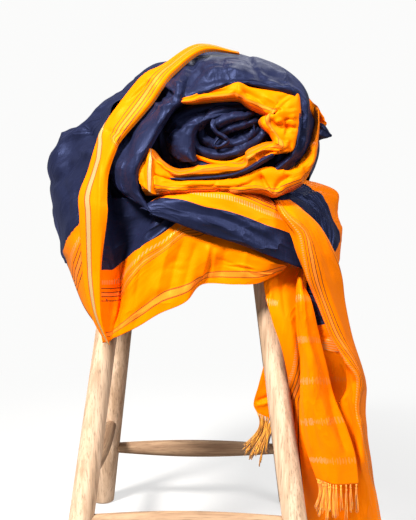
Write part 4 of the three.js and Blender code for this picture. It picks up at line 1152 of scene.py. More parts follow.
points = creased(points, [
    [[(-28, 756), (-24, 742), (-18, 732)], 2.5, 4],
    [[(-26, 778), (-10, 792), (12, 800)], 2.5, 4],
    [[(-20, 772), (-6, 786), (14, 790)], -2.5, 4],
    [[(20, 800), (40, 806), (60, 806)], -1.5, 4],
    [[(2, 776), (0, 756), (4, 738)], 1.2, 2.5],
    [[(-44, 766), (-30, 780), (-10, 786)], 4, 4],
    [[(-16, 796), (-24, 780), (-30, 762)], -4, 5],
    [[(30, 812), (22, 800), (14, 790)], 3, 3],
], (0.2, 0.8))
inner_fold = cloth("inner_fold", points, weave_place(points, [(0, 260), (1, 370)]), blue_silk)

COIL_HEART = [
    # left, then across the mouth to its right
    [[-40, -132, 822], [-8, -134, 828], [30, -134, 838], [70, -134, 842], [104, -136, 832], [136, -138, 818]],
    [[-46, -140, 802], [-8, -146, 812], [32, -150, 820], [70, -152, 822], [108, -152, 814], [142, -146, 804]],
    [[-50, -140, 780], [-8, -134, 790], [24, -112, 790], [68, -140, 796], [108, -146, 794], [144, -142, 786]],
    [[-50, -142, 756], [-8, -138, 766], [24, -132, 768], [66, -134, 768], [104, -138, 768], [146, -146, 768]],
    [[-46, -142, 736], [-6, -144, 742], [32, -146, 742], [66, -146, 742], [100, -144, 746], [140, -146, 750]],
    [[-36, -142, 716], [0, -150, 718], [32, -154, 716], [64, -156, 716], [94, -154, 724], [126, -150, 734]],
    [[-28, -134, 698], [2, -138, 698], [32, -140, 698], [62, -140, 700], [90, -140, 708], [116, -138, 720]],
]
points = sheet_grid(COIL_HEART, 74, 96)
points = rippled(points, 21, 30, 2.4, 5, 0.5, 0.9)
inner_coil = cloth("inner_coil", points, weave_place(points, [(0, 230), (1, 420)]), blue_silk)

# The turns at its heart, each a fold of cloth whose rounded edge faces the front.
COIL_TURNS = {
    # along each fold: x, how far forward its edge is, z, and half its width
    "coil_turn_over": [
        (-34, -150, 774, 9), (-22, -160, 796, 10), (0, -166, 810, 10), (30, -167, 818, 9),
        (62, -166, 824, 9), (96, -164, 820, 8), (116, -162, 808, 8), (128, -158, 792, 7),
    ],
    "coil_turn_second": [
        (14, -162, 778, 6), (22, -170, 793, 7), (38, -174, 806, 8), (62, -172, 813, 8), (90, -166, 816, 7),
        (110, -160, 806, 5),
    ],
    "coil_turn_pillow": [
        (35, -170, 782, 5), (46, -180, 791, 8), (66, -182, 799, 9), (90, -176, 804, 7), (108, -164, 809, 4),
    ],
    "coil_turn_third": [
        (46, -168, 774, 5), (62, -174, 781, 7), (86, -174, 788, 8), (108, -166, 794, 7),
        (124, -158, 800, 5),
    ],
    "coil_turn_eye": [
        (41, -178, 797, 3.5), (38, -184, 786, 4), (44, -184, 776, 3.5), (56, -182, 769, 3.5),
        (62, -180, 762, 3.5), (54, -180, 755, 3.2), (44, -180, 752, 3.2), (40, -178, 758, 3),
        (47, -176, 768, 3),
    ],
    "coil_turn_low": [
        (4, -160, 768, 7), (12, -168, 750, 8), (34, -172, 740, 9), (64, -173, 741, 10), (94, -171, 752, 11),
        (118, -166, 768, 10), (128, -158, 788, 7),
    ],
    "coil_turn_inside": [
        (20, -160, 780, 6), (24, -168, 765, 8), (44, -168, 755, 9), (72, -170, 757, 11),
        (98, -168, 768, 12), (114, -162, 784, 9),
    ],
    "coil_turn_lowest": [
        (0, -164, 730, 4), (24, -172, 721, 5.5), (54, -174, 719, 5.5), (84, -171, 724, 5.5),
        (108, -164, 738, 5),
    ],
}
TURN_BULGE = 0.95
TURN_STEPS, TURN_SIDES = 72, 19
TURN_OPEN = 118
FLAT_SHARE = 4.8
for seed, (name, line) in enumerate(COIL_TURNS.items()):
    spine = curve_weights(len(line), TURN_STEPS) @ np.array(line, float)
    way = np.gradient(spine[:, [0, 2]], axis=0)
    way /= np.linalg.norm(way, axis=1, keepdims=True)
    angles = np.radians(np.linspace(-TURN_OPEN, TURN_OPEN, TURN_SIDES))
    half = spine[:, 3][:, None]
    x = spine[:, 0][:, None] - way[:, 1][:, None] * half * np.sin(angles)
    z = spine[:, 2][:, None] + way[:, 0][:, None] * half * np.sin(angles)
    hollow = 0.55 * (1 - np.cos(angles)) + 0.75 * np.abs(np.sin(angles / 2))
    y = spine[:, 1][:, None] + half * TURN_BULGE * hollow
    points = spread_from_eye(np.stack([x, y, z], axis=2)[:, ::-1])
    points = rippled(points, 70 + seed, 16, 1.3, 2.6, 1.4, 0.35)
    points = rippled(points, 90 + seed, 8, 1.6, 3.0, 0.2, 0.5)
    turn = cloth(name, points, weave_place(points, [(0, 300), (1, 330)]), blue_silk, trim=True, wall=0.6)
    run = np.linalg.norm(np.diff(spine[:, :3], axis=0), axis=1).sum()
    flat = tuple(float(np.round(size)) * MM for size in (FLAT_SHARE * half.mean(), run))

# The edge of a border that shows between the coil's lowest turns.
COIL_BORDER = [
    # top, middle, bottom
    [[0, -158, 745], [0, -162, 742], [1, -160, 739]],
    [[14, -166, 738], [15, -170, 735], [16, -168, 731]],
    [[40, -168, 730], [40, -172, 727], [40, -170, 724]],
    [[66, -168, 729], [67, -172, 726], [68, -170, 723]],
    [[84, -166, 736], [86, -170, 733], [88, -168, 730]],
    [[98, -160, 747], [99, -163, 745], [100, -161, 742]],
]
points = sheet_grid(COIL_BORDER, 90, 14)
coil_border = cloth("coil_border", points, weave_place(points, [(0, 30), (1, 42)]), saffron_silk, trim=True)

# ---------------------------------------------------------------------------------------------
# The saffron layer outside the outer wrap: the border of the turn below, which shows down the
# right side and comes back under the roll.
# ---------------------------------------------------------------------------------------------
UNDER_WRAP = [
    # top, upper ridge, valley, lower ridge, bottom
    [[205, -70, 818], [211, -96, 815], [213, -104, 809], [214, -96, 803], [212, -74, 800]],
    [[204, -90, 788], [210, -122, 785], [212, -130, 778], [213, -122, 771], [210, -90, 766]],
    [[196, -112, 758], [204, -150, 756], [208, -152, 748], [208, -140, 740], [204, -104, 734]],
    [[182, -134, 728], [190, -172, 728], [198, -174, 722], [200, -160, 712], [196, -124, 706]],
    [[162, -150, 714], [172, -186, 714], [182, -190, 706], [186, -182, 694], [182, -146, 686]],
    [[146, -156, 714], [152, -193, 714], [160, -200, 700], [163, -196, 684], [158, -164, 674]],
    [[128, -160, 716], [132, -196, 718], [139, -204, 694], [141, -206, 674], [138, -176, 668]],
    [[106, -164, 710], [108, -198, 712], [114, -200, 694], [120, -206, 682], [118, -184, 674]],
    [[80, -166, 702], [80, -200, 701], [84, -206, 692], [88, -205, 680], [88, -188, 674]],
    [[50, -168, 698], [50, -202, 697], [50, -208, 690], [51, -206, 680], [51, -190, 674]],
    [[14, -168, 697], [14, -202, 696], [14, -209, 690], [14, -206, 680], [14, -190, 674]],
    [[-26, -166, 697], [-27, -200, 696], [-26, -208, 690], [-26, -206, 679], [-26, -190, 672]],
    [[-54, -162, 704], [-56, -196, 706], [-58, -205, 696], [-58, -206, 682], [-54, -190, 672]],
    [[-74, -160, 712], [-80, -190, 712], [-82, -200, 700], [-80, -202, 684], [-74, -188, 672]],
]
points = sheet_grid(UNDER_WRAP, 210, 42)
points = lapped(points, [
    [[(-30, 688), (20, 689), (68, 687), (96, 692), (112, 704)], 5, 6],
    [[(139, 672), (124, 694), (118, 712)], -6, 9],
    [[(172, 700), (150, 690), (139, 672)], 6, 10],
], (0.2, 0.85))
points = creased(points, [
    [[(-60, 706), (-58, 690), (-50, 678)], 4, 4],
    [[(-40, 680), (-20, 683), (0, 679)], 3, 3],
    [[(40, 684), (54, 677), (70, 682)], -4, 3],
    [[(58, 674), (84, 682), (106, 686)], 4, 4],
    [[(116, 706), (126, 690), (136, 678)], -4, 4],
    [[(140, 680), (152, 696), (170, 706)], -5, 5],
    [[(188, 722), (194, 706), (188, 692)], -3, 4],
    [[(205, 760), (206, 740), (200, 720)], 3, 4],
], (0.2, 0.85))
points = rippled(points, 31, 30, 1.8, 4, 0.3, 0.7)
under_across = [(0, 24), (0.4, 60), (0.6, 84), (1, 118)]
under_wrap = cloth("under_wrap", points, weave_place(points, under_across), saffron_silk)

# The two ends of cloth that stick out of the roll behind it on the right.
TAIL_BORDER = [
    # top, middle, bottom
    [[196, -50, 832], [198, -46, 812], [198, -42, 790]],
    [[208, -74, 818], [214, -72, 802], [212, -66, 780]],
    [[216, -80, 806], [221, -80, 795], [216, -74, 772]],
    [[225, -80, 793], [226, -80, 790], [222, -76, 782]],
]
points = sheet_grid(TAIL_BORDER, 50, 40)
points = creased(points, [
    [[(204, 824), (214, 804), (226, 790)], 3, 3],
    [[(202, 806), (212, 794), (220, 782)], -3, 4],
])
tail_border = cloth("tail_border", points, weave_place(points, [(0, 20), (1, 60)]), saffron_silk, trim=True)
TAIL_TIP = [
    # top, middle, bottom
    [[200, -70, 794], [200, -76, 778], [200, -66, 756]],
    [[211, -84, 792], [212, -90, 776], [208, -84, 760]],
    [[221, -86, 789], [224, -92, 778], [219, -86, 765]],
    [[234, -82, 773], [235, -83, 771], [234, -82, 769]],
]
points = sheet_grid(TAIL_TIP, 60, 40)
points = creased(points, [
    [[(206, 788), (220, 780), (235, 771)], 3, 3],
    [[(206, 776), (218, 772), (230, 770)], -4, 3],
])
tail_tip = cloth("tail_tip", points, weave_place(points, [(0, 300), (1, 340)]), blue_silk, trim=True)

# ---------------------------------------------------------------------------------------------
# The swag: the cloth leaves the roll's lower left and crosses the seat's front edge to the right,
# its striped border above and the blue below, gathered into long soft folds.
# ---------------------------------------------------------------------------------------------
FRONT_SWAG = [
    # top, upper, middle, lower, lip, under
    [[-84, -196, 650], [-80, -204, 650], [-74, -209, 648], [-68, -210, 645], [-66, -209, 641],
     [-68, -202, 640]],
    [[-32, -180, 680], [-32, -203, 671], [-32, -212, 655], [-31, -214, 640], [-30, -211, 629],
     [-30, -200, 630]],
    [[24, -182, 684], [24, -208, 673], [25, -216, 648], [25, -218, 626], [25, -213, 609], [25, -200, 612]],
    [[74, -178, 684], [74, -203, 673], [75, -210, 645], [76, -214, 616], [77, -210, 593], [78, -198, 597]],
    [[120, -172, 674], [122, -191, 662], [126, -201, 632], [129, -206, 600], [131, -203, 573],
     [132, -192, 578]],
    [[150, -164, 652], [154, -176, 645], [162, -188, 618], [172, -193, 584], [178, -190, 554],
     [178, -180, 560]],
    [[170, -154, 640], [174, -164, 632], [182, -176, 606], [190, -180, 574], [194, -177, 548],
     [194, -168, 553]],
]
points = sheet_grid(FRONT_SWAG, 160, 66)
points = creased(points, [
    [[(-60, 660), (0, 660), (50, 648), (100, 622), (150, 600)], -2.5, 5],
    [[(-50, 648), (0, 645), (60, 632), (120, 605), (170, 580)], 2.5, 6],
    [[(-20, 636), (40, 622), (90, 600), (140, 572)], -2, 5],
    [[(66, 668), (110, 650), (160, 632)], 2, 4],
], (0.15, 0.85))
swag_across = [
    # down the swag, the share at which the blue starts
    [(0, 150), (0.3, 165), (1, 230)],
    [(0, 110), (0.26, 136), (1, 230)],
    [(0, 92), (0.36, 136), (1, 220)],
    [(0, 84), (0.42, 136), (1, 200)],
    [(0, 72), (0.46, 136), (1, 195)],
    [(0, 74), (0.45, 136), (1, 195)],
    [(0, 78), (0.42, 136), (1, 190)],
]
front_swag = cloth("front_swag", points, weave_place(points, swag_across), blue_silk)

# ---------------------------------------------------------------------------------------------
# The flap that hangs below the swag in front of the seat: border and blue of the same cloth, with
# one deep fold beside the hanging border and a waved hem.
# ---------------------------------------------------------------------------------------------
FRONT_FLAP = [
    # top, shoulder, upper, middle, lower, hem
    [[-152, -176, 668], [-153, -180, 628], [-155, -184, 588], [-157, -186, 540], [-158, -188, 490],
     [-149, -193, 422]],
    [[-118, -150, 668], [-122, -148, 628], [-128, -150, 588], [-133, -156, 540], [-133, -168, 490],
     [-137, -190, 424]],
    [[-62, -160, 664], [-84, -150, 625], [-104, -146, 585], [-114, -146, 540], [-117, -158, 490],
     [-131, -188, 430]],
    [[-48, -186, 655], [-64, -192, 618], [-84, -196, 585], [-98, -199, 540], [-106, -199, 490],
     [-120, -201, 434]],
    [[-26, -190, 636], [-38, -197, 606], [-52, -199, 575], [-66, -201, 540], [-76, -203, 500],
     [-88, -204, 450]],
    [[-4, -192, 622], [-12, -198, 600], [-22, -200, 575], [-34, -202, 545], [-44, -205, 510],
     [-52, -207, 472]],
    [[24, -193, 608], [20, -199, 590], [12, -201, 570], [4, -203, 548], [-2, -206, 520], [-8, -208, 492]],
    [[52, -193, 600], [48, -197, 584], [42, -195, 568], [34, -190, 552], [26, -188, 536], [20, -188, 522]],
    [[90, -193, 588], [88, -197, 576], [85, -198, 562], [81, -199, 549], [77, -199, 535], [74, -199, 522]],
    [[130, -190, 570], [127, -194, 560], [124, -193, 550], [120, -192, 541], [117, -192, 532],
     [114, -192, 524]],
    [[164, -178, 556], [162, -178, 553], [159, -176, 549], [156, -174, 546], [153, -172, 543],
     [150, -170, 541]],
]
points = sheet_grid(FRONT_FLAP, 184, 100)
points = creased(points, [
    [[(-70, 600), (-84, 550), (-96, 480)], 3, 7],
    [[(-26, 612), (-44, 560), (-60, 490)], -4, 8],
    [[(-8, 606), (-24, 560), (-38, 500)], 4, 7],
    [[(14, 600), (0, 560), (-14, 505)], 4, 8],
    [[(34, 594), (24, 556), (14, 525)], -5, 6],
    [[(60, 592), (56, 560), (50, 530)], 2.5, 6],
    [[(96, 584), (92, 560), (88, 530)], -2, 6],
    [[(-140, 610), (-130, 560), (-128, 510)], -2.5, 6],
    [[(-60, 640), (-84, 606), (-100, 580)], 4, 5],
    [[(-44, 640), (-66, 612), (-80, 588)], -4, 5],
    [[(-120, 560), (-124, 510), (-132, 450)], -6, 6],
    [[(44, 586), (40, 556), (38, 530)], -4, 7],
    [[(-96, 470), (-60, 500), (-20, 524)], 2.5, 8],
])
points = rippled(points, 17, 20, 1.4, 6, 1.4, 0.5)
flap_across = [
    # along the flap, the shares of each section at which the blue and the woven lines end
    [(0, 240), (0.573, 136), (0.704, 107), (0.788, 86), (1, 0)],
    [(0, 240), (0.573, 136), (0.704, 107), (0.788, 86), (1, 0)],
    [(0, 220), (0.50, 136), (0.70, 107), (0.78, 86), (1, 0)],
    [(0, 200), (0.41, 136), (0.56, 107), (0.65, 86), (1, 0)],
    [(0, 150), (0.12, 136), (0.33, 107), (0.42, 86), (1, 0)],
    [(0, 112), (0.04, 107), (0.16, 86), (0.30, 70), (1, 0)],
    [(0, 86), (0.05, 82), (0.16, 74), (0.30, 62), (1, 0)],
    [(0, 68), (0.05, 65), (0.16, 58), (0.30, 49), (1, 0)],
    [(0, 58), (0.05, 56), (0.16, 50), (0.30, 42), (1, 0)],
    [(0, 42), (0.05, 40), (0.16, 36), (0.30, 30), (1, 0)],
    [(0, 22), (0.05, 21), (0.16, 19), (0.30, 16), (1, 0)],
]
front_flap = cloth("front_flap", points, weave_place(points, flap_across), blue_silk, slot="silk_saffron")

# ---------------------------------------------------------------------------------------------
# The fold on the roll's right, blue with its saffron border beyond, which lies over the seat's
# edge and hangs behind the end piece.
# ---------------------------------------------------------------------------------------------
SHOULDER_FOLD = [
    # left, middle, bend, crest, back
    [[140, -130, 672], [156, -118, 680], [166, -96, 688], [170, -62, 700], [150, -10, 694]],
    [[176, -140, 646], [186, -122, 664], [202, -92, 682], [214, -60, 692], [200, -4, 686]],
    [[200, -148, 618], [216, -126, 644], [230, -92, 666], [246, -62, 676], [234, 0, 666]],
    [[222, -150, 586], [233, -128, 614], [239, -94, 638], [243, -64, 645], [236, -4, 638]],
    [[230, -146, 556], [243, -126, 584], [249, -94, 608], [252, -66, 613], [245, -8, 606]],
    [[232, -140, 505], [244, -122, 528], [249, -94, 556], [251, -68, 566], [246, -16, 560]],
]
points = sheet_grid(SHOULDER_FOLD, 120, 90)
points = creased(points, [
    [[(170, 668), (205, 672), (235, 670)], 2.5, 5],
    [[(165, 650), (200, 655), (236, 640)], -2.5, 6],
    [[(220, 640), (238, 610), (248, 580)], 2, 5],
])
points = rippled(points, 41, 14, 2.0, 6, 1.4, 0.6, ((0.1, 0.95), (0.3, 1.0)))
shoulder_across = [
    [(0, 300), (0.2, 250), (0.68, 140), (0.70, 134), (1, 112)],
    [(0, 300), (0.2, 250), (0.50, 140), (0.52, 134), (1, 112)],
    [(0, 300), (0.2, 250), (0.42, 140), (0.44, 134), (1, 112)],
    [(0, 300), (0.2, 200), (0.42, 140), (0.44, 134), (1, 112)],
    [(0, 132), (0.24, 138), (0.46, 140), (0.49, 134), (1, 112)],
    [(0, 118), (0.24, 122), (0.46, 124), (0.49, 124), (1, 112)],
]
shoulder_fold = cloth("shoulder_fold", points, weave_place(points, shoulder_across), blue_silk)

# ---------------------------------------------------------------------------------------------
# The end piece, saffron all over: its striped border comes out from under the roll and hangs past
# the stool's right leg to the floor's side, in long slanting folds.
# ---------------------------------------------------------------------------------------------
PALLU_BAND = [
    # back, left, middle, right
    [[140, -168, 664], [146, -173, 664], [156, -171, 664], [166, -163, 665]],
    [[150, -198, 640], [158, -210, 640], [172, -202, 646], [186, -184, 650]],
    [[168, -202, 606], [180, -212, 608], [200, -204, 616], [216, -180, 622]],
    [[180, -202, 572], [189, -212, 574], [214, -202, 578], [240, -172, 582]],
    [[196, -186, 535], [197, -204, 536], [224, -196, 536], [255, -156, 538]],
    [[212, -162, 496], [213, -190, 497], [237, -186, 495], [262, -146, 490]],
    [[238, -158, 440], [237, -184, 437], [257, -180, 435], [275, -146, 432]],
    [[262, -154, 390], [262, -180, 392], [282, -176, 388], [293, -146, 378]],
    [[266, -150, 346], [278, -175, 362], [293, -170, 356], [300, -146, 346]],
    [[252, -150, 308], [274, -166, 310], [288, -168, 306], [300, -146, 296]],
    [[268, -152, 262], [280, -164, 262], [292, -164, 258], [306, -144, 252]],
    [[280, -156, 212], [288, -163, 212], [299, -162, 210], [314, -142, 206]],
    [[280, -153, 170], [291, -159, 170], [304, -157, 168], [320, -141, 166]],
    [[276, -150, 98], [291, -154, 98], [309, -152, 97], [333, -139, 96]],
]
points = sheet_grid(PALLU_BAND, 210, 48)
points = creased(points, [
    [[(168, 650), (200, 590), (222, 520)], 2.5, 5],
    [[(190, 640), (222, 580), (244, 520)], -2, 6],
    [[(215, 560), (240, 490), (268, 420)], 2, 5],
    [[(262, 400), (284, 364), (300, 330)], 2.5, 5],
    [[(284, 362), (270, 340), (262, 310)], -3, 6],
    [[(292, 300), (300, 250), (306, 190)], 2, 5],
    [[(300, 280), (314, 220), (322, 150)], -2, 6],
    [[(262, 330), (272, 290), (284, 220)], -6, 6],
    [[(288, 300), (292, 250), (294, 190)], 4, 6],
])
band_across = [
    [(0, 150), (0.3, 108), (0.62, 40), (1, 2)],
    [(0, 160), (0.3, 118), (0.62, 62), (1, 8)],
    [(0, 165), (0.3, 126), (0.62, 84), (1, 12)],
    [(0, 165), (0.3, 122), (0.62, 84), (1, 12)],
    [(0, 160), (0.3, 122), (0.62, 86), (1, 20)],
    [(0, 160), (0.3, 120), (0.62, 84), (1, 40)],
    [(0, 150), (0.3, 116), (0.62, 90), (1, 60)],
    [(0, 170), (0.3, 124), (0.62, 96), (1, 60)],
    [(0, 175), (0.3, 132), (0.62, 100), (1, 40)],
    [(0, 178), (0.3, 150), (0.62, 104), (1, 30)],
    [(0, 190), (0.3, 165), (0.62, 130), (1, 50)],
    [(0, 190), (0.3, 172), (0.62, 145), (1, 80)],
    [(0, 200), (0.3, 180), (0.62, 160), (1, 110)],
    [(0, 200), (0.3, 180), (0.62, 160), (1, 110)],
]
pallu_band = cloth("pallu_band", points, weave_place(points, band_across, 26), end_silk)
band_edge = points

PALLU_PANEL = [
    # left, inner left, middle, right
    [[182, -146, 562], [186, -150, 563], [191, -152, 563], [196, -148, 562]],
    [[180, -168, 528], [183, -174, 530], [186, -174, 530], [189, -168, 528]],
    [[178, -184, 495], [184, -194, 496], [192, -198, 496], [204, -186, 495]],
    [[180, -186, 445], [188, -197, 445], [199, -200, 445], [217, -182, 443]],
    [[187, -188, 387], [196, -199, 388], [210, -202, 390], [231, -176, 388]],
    [[187, -190, 328], [199, -201, 328], [218, -203, 328], [247, -174, 328]],
    [[190, -190, 270], [208, -201, 270], [230, -203, 270], [268, -180, 275]],
    [[202, -190, 225], [222, -200, 224], [245, -202, 223], [284, -184, 225]],
    [[217, -190, 184], [231, -198, 178], [252, -200, 172], [291, -186, 174]],
]
points = sheet_grid(PALLU_PANEL, 170, 50)
points = creased(points, [
    [[(186, 540), (188, 500), (186, 460)], 2, 3],
    [[(196, 500), (204, 450), (214, 400)], -2.5, 5],
    [[(210, 440), (222, 390), (240, 330)], -2.5, 5],
    [[(220, 330), (236, 280), (262, 220)], 2.5, 7],
    [[(206, 300), (216, 250), (232, 200)], -1.5, 7],
    [[(232, 360), (246, 300), (272, 220)], -5, 6],
    [[(196, 420), (204, 370), (210, 320)], 2, 6],
    [[(192, 330), (200, 280), (212, 220)], 2.5, 5],
])
pallu_panel = cloth("pallu_panel", points, weave_place(points, [(0, 196), (1, 300)], 144), end_silk)
panel_edge = points

PALLU_STRIP = [
    # left, middle, right
    [[124, -150, 586], [150, -148, 584], [184, -138, 580]],
    [[124, -168, 520], [150, -168, 516], [186, -154, 510]],
    [[138, -184, 462], [160, -186, 460], [190, -168, 458]],
    [[155, -186, 412], [174, -188, 412], [196, -170, 412]],
    [[166, -172, 362], [184, -178, 362], [202, -162, 362]],
    [[171, -148, 320], [190, -160, 320], [210, -152, 320]],
    [[180, -158, 245], [200, -158, 245], [218, -146, 245]],
    [[191, -168, 150], [208, -156, 148], [230, -140, 148]],
    [[198, -166, 104], [216, -154, 102], [238, -138, 102]],
]
points = sheet_grid(PALLU_STRIP, 180, 44)
points = creased(points, [
    [[(150, 560), (156, 510), (162, 460)], -2, 5],
    [[(132, 560), (134, 510), (148, 450)], 2, 5],
])
strip_across = [
    [(0, 300), (1, 220)],
    [(0, 245), (1, 160)],
    [(0, 214), (1, 104)],
    [(0, 160), (1, 92)],
    [(0, 122), (1, 78)],
    [(0, 100), (1, 60)],
    [(0, 90), (1, 60)],
    [(0, 90), (1, 60)],
    [(0, 90), (1, 60)],
]
pallu_strip = cloth("pallu_strip", points, weave_place(points, strip_across, 96), end_silk)

# A tucked end of blue and of woven border that shows deep between its folds.
PALLU_TUCK = [
    # left, middle, right
    [[196, -150, 528], [208, -156, 526], [222, -150, 522]],
    [[198, -156, 496], [216, -162, 494], [232, -156, 490]],
    [[202, -158, 468], [224, -166, 466], [246, -160, 462]],
    [[206, -160, 436], [234, -168, 434], [264, -158, 430]],
    [[214, -160, 414], [240, -166, 406], [270, -154, 402]],
]
points = sheet_grid(PALLU_TUCK, 80, 50)
points = creased(points, [
    [[(196, 520), (214, 480), (236, 430)], 4, 6],
    [[(216, 520), (232, 480), (248, 440)], -4, 6],
    [[(202, 470), (220, 440), (230, 405)], 3, 5],
])
points = rippled(points, 58, 14, 3.0, 5, 1.0, 0.8)
tuck_across = [
    [(0, 300), (1, 320)],
    [(0, 180), (1, 200)],
    [(0, 150), (1, 140)],
    [(0, 124), (1, 117)],
    [(0, 120), (1, 112)],
]
pallu_tuck = cloth("pallu_tuck", points, weave_place(points, tuck_across, 60), blue_silk, trim=True)

PALLU_BACK = [
    # left, middle, right
    [[168, -112, 592], [198, -112, 590], [224, -108, 588]],
    [[188, -120, 495], [222, -114, 495], [246, -104, 495]],
    [[196, -124, 362], [234, -114, 362], [284, -108, 362]],
    [[202, -126, 265], [240, -116, 265], [280, -110, 265]],
    [[205, -126, 190], [246, -116, 190], [292, -112, 190]],
    [[210, -124, 104], [254, -114, 98], [306, -110, 100]],
]
points = sheet_grid(PALLU_BACK, 120, 44)
points = rippled(points, 51, 12, 3.0, 8, 1.5, 0.25)
pallu_back = cloth("pallu_back", points, weave_place(points, [(0, 330), (1, 440)], 30), end_silk)
back_edge = points

PALLU_CORNER = [
    # left, middle, right
    [[144, -108, 592], [156, -110, 592], [166, -108, 592]],
    [[142, -100, 495], [158, -102, 495], [176, -102, 495]],
    [[136, -96, 428], [154, -99, 428], [174, -100, 428]],
    [[126, -92, 387], [150, -97, 386], [172, -98, 385]],
    [[116, -90, 348], [144, -95, 345], [168, -96, 342]],
    [[108, -88, 317], [134, -94, 311], [160, -95, 306]],
    [[114, -90, 300], [132, -93, 292], [150, -94, 284]],
]
points = sheet_grid(PALLU_CORNER, 150, 44)
points = creased(points, [
    [[(112, 320), (128, 326), (146, 330)], -4, 4],
    [[(108, 312), (126, 316), (146, 322)], 3, 4],
    [[(132, 420), (126, 380), (120, 340)], 1.5, 5],
])
corner_across = [(0, 150), (0.2, 139), (1, 100)]
pallu_corner = cloth("pallu_corner", points, weave_place(points, corner_across, 60), end_silk)
corner_edge = points

# ---------------------------------------------------------------------------------------------
# The knotted fringe at the foot of the end piece: the warp's own ends, tied off in small tassels
# of a few threads each, which hang straight and part a little.
# ---------------------------------------------------------------------------------------------
FRINGE_GAP = 0.4
THREAD_SIDES = 5
THREAD_STEPS = 12
THREADS_TO_A_TASSEL = 6
TASSEL_SPREAD = 2.6
KNOT = ((-2.2, 0.5), (-1.4, 1.5), (0, 1.9), (1.4, 1.5), (2.2, 0.5))


def fringe_silk(name, colour, pale):
    material, tree, shader = new_material(name, 0.5, Sheen_Weight=0.3)
    place = inner_node(tree, "ShaderNodeTexCoord").outputs["Object"]
    strands = grained(tree, place, 300, 2, 0.5, (1, 1, 0.1))
    tone = blended(tree, eased(tree, strands, 0.35, 0.7), colour, pale)
    feed_all(tree, shader, Base_Color=tone, Roughness=plus(tree, 0.45, times(tree, strands, 0.2)))
    return material


saffron_thread = fringe_silk("saffron_thread", (0.80, 0.22, 0.004, 1), (1.0, 0.44, 0.02, 1))
dark_thread = fringe_silk("dark_thread", (0.03, 0.015, 0.012, 1), (0.09, 0.04, 0.03, 1))
gilt_thread = fringe_silk("gilt_thread", (0.36, 0.12, 0.004, 1), (0.85, 0.38, 0.03, 1))


def fringe(node, sheet, count, length, sway, seed, thick=0.75, drift=0.0, silk_thread=saffron_thread):
    """Tassels along a sheet's last row: how many, how long and how far they sway, then how thick
    a thread is and how far it drifts sideways as it falls."""
    draw = random.Random(seed)
    last = sheet.shape[0] - 1
    edge = sheet[last]
    columns = edge.shape[0]
    drop = edge - sheet[last - 4]
    drop /= np.linalg.norm(drop, axis=1, keepdims=True)
    points, faces, dark = [], [], []

    def tube(spine, radii, is_dark):
        start = len(points)
        for k, (middle, radius) in enumerate(zip(spine, radii)):
            way = spine[min(k + 1, len(spine) - 1)] - spine[max(k - 1, 0)]
            way /= np.linalg.norm(way)
            side = np.cross(way, [0, 1, 0])
            side /= np.linalg.norm(side)
            face = np.cross(side, way)
            for q in range(THREAD_SIDES):
                turn = q / THREAD_SIDES * math.tau
                points.append(middle + side * radius * math.cos(turn) + face * radius * math.sin(turn))
        made = [tuple(start + v for v in f) for f in ring_faces(len(spine), THREAD_SIDES)]
        faces.extend(made)
        dark.extend([is_dark] * len(made))

    for k in range(count):
        at = min(int((k + 0.5) / count * (columns - 1)), columns - 2)
        root = edge[at]
        way = drop[at]
        side = edge[at + 1] - edge[at]
        side /= np.linalg.norm(side)
        face = np.cross(side, way)
        reach = length * (0.86 + 0.14 * math.sin(k * 2.4))
        knot = draw.uniform(0.10, 0.16)

        def swung(middle, share, forward=0.0, along=0.0):
            middle = middle + face * (sway * share * math.sin(k * 0.5 + share * 2) + forward)
            return middle + side * (sway * share * math.cos(k * 0.25 + share * 3) + along)

        for thread in range(THREADS_TO_A_TASSEL):
            lean = draw.uniform(-1, 1), draw.uniform(-1, 1)
            own = reach * draw.uniform(0.86, 1.0)
            spine = []
            for step in range(THREAD_STEPS + 1):
                share = step / THREAD_STEPS
                hang = way * (1 - share) + np.array([drift, 0, -1.0]) * share
                past = share - knot
                gather = TASSEL_SPREAD * (-past * 2.4 if past < 0 else min(1.0, 0.25 + past * 1.3))
                middle = root + way * FRINGE_GAP + hang * own * share
                spine.append(swung(middle, share, lean[0] * gather, lean[1] * gather))
            thin = [thick * (1 - 0.35 * s / THREAD_STEPS) for s in range(THREAD_STEPS + 1)]
            tube(np.array(spine), thin, thread == THREADS_TO_A_TASSEL - 1 and k % 3 == 1)
        fall = way * (1 - knot) + np.array([0, 0, -1.0]) * knot
        at_knot = swung(root + way * FRINGE_GAP + fall * reach * knot, knot)
        tube(np.array([at_knot + way * far for far, _ in KNOT]), [radius for _, radius in KNOT], False)
    piece = mesh_piece(node + "_threads", np.array(points), faces, silk_thread, "silk_saffron", node)
    piece.data.materials.append(dark_thread)
    piece.data.polygons.foreach_set("material_index", [1 if d else 0 for d in dark])
    return piece


fringe_panel = fringe("fringe_panel", panel_edge, 14, 66, 4, 61)
fringe_corner = fringe("fringe_corner", corner_edge, 8, 84, 6, 62, 1.6, -0.3, gilt_thread)
fringe_back = fringe("fringe_back", back_edge, 12, 68, 4, 63)
fringe_band = fringe("fringe_band", band_edge, 7, 68, 4, 64)

# ---------------------------------------------------------------------------------------------
# The hidden layers: the rest of the saree's turns, rolled and folded between what shows and the
# seat. They are one soft body here, with the layers' edges coiled at the roll's mouth.
# ---------------------------------------------------------------------------------------------
LAYER_CLEAR = 9.0
LINING = 8.0
FILL_SHARE = 11 / 16
FILL_OVER = 120
SEAT_REACH = (-148, 186)
FLOOR_SHARES = (0, 0.1, 0.2, 0.66, 0.8, 1)
FLOOR_X = (166, 166, 138, -134, -144, -144)
FLOOR_FOLLOWS = (1, 1, 0, 0, 1, 1)


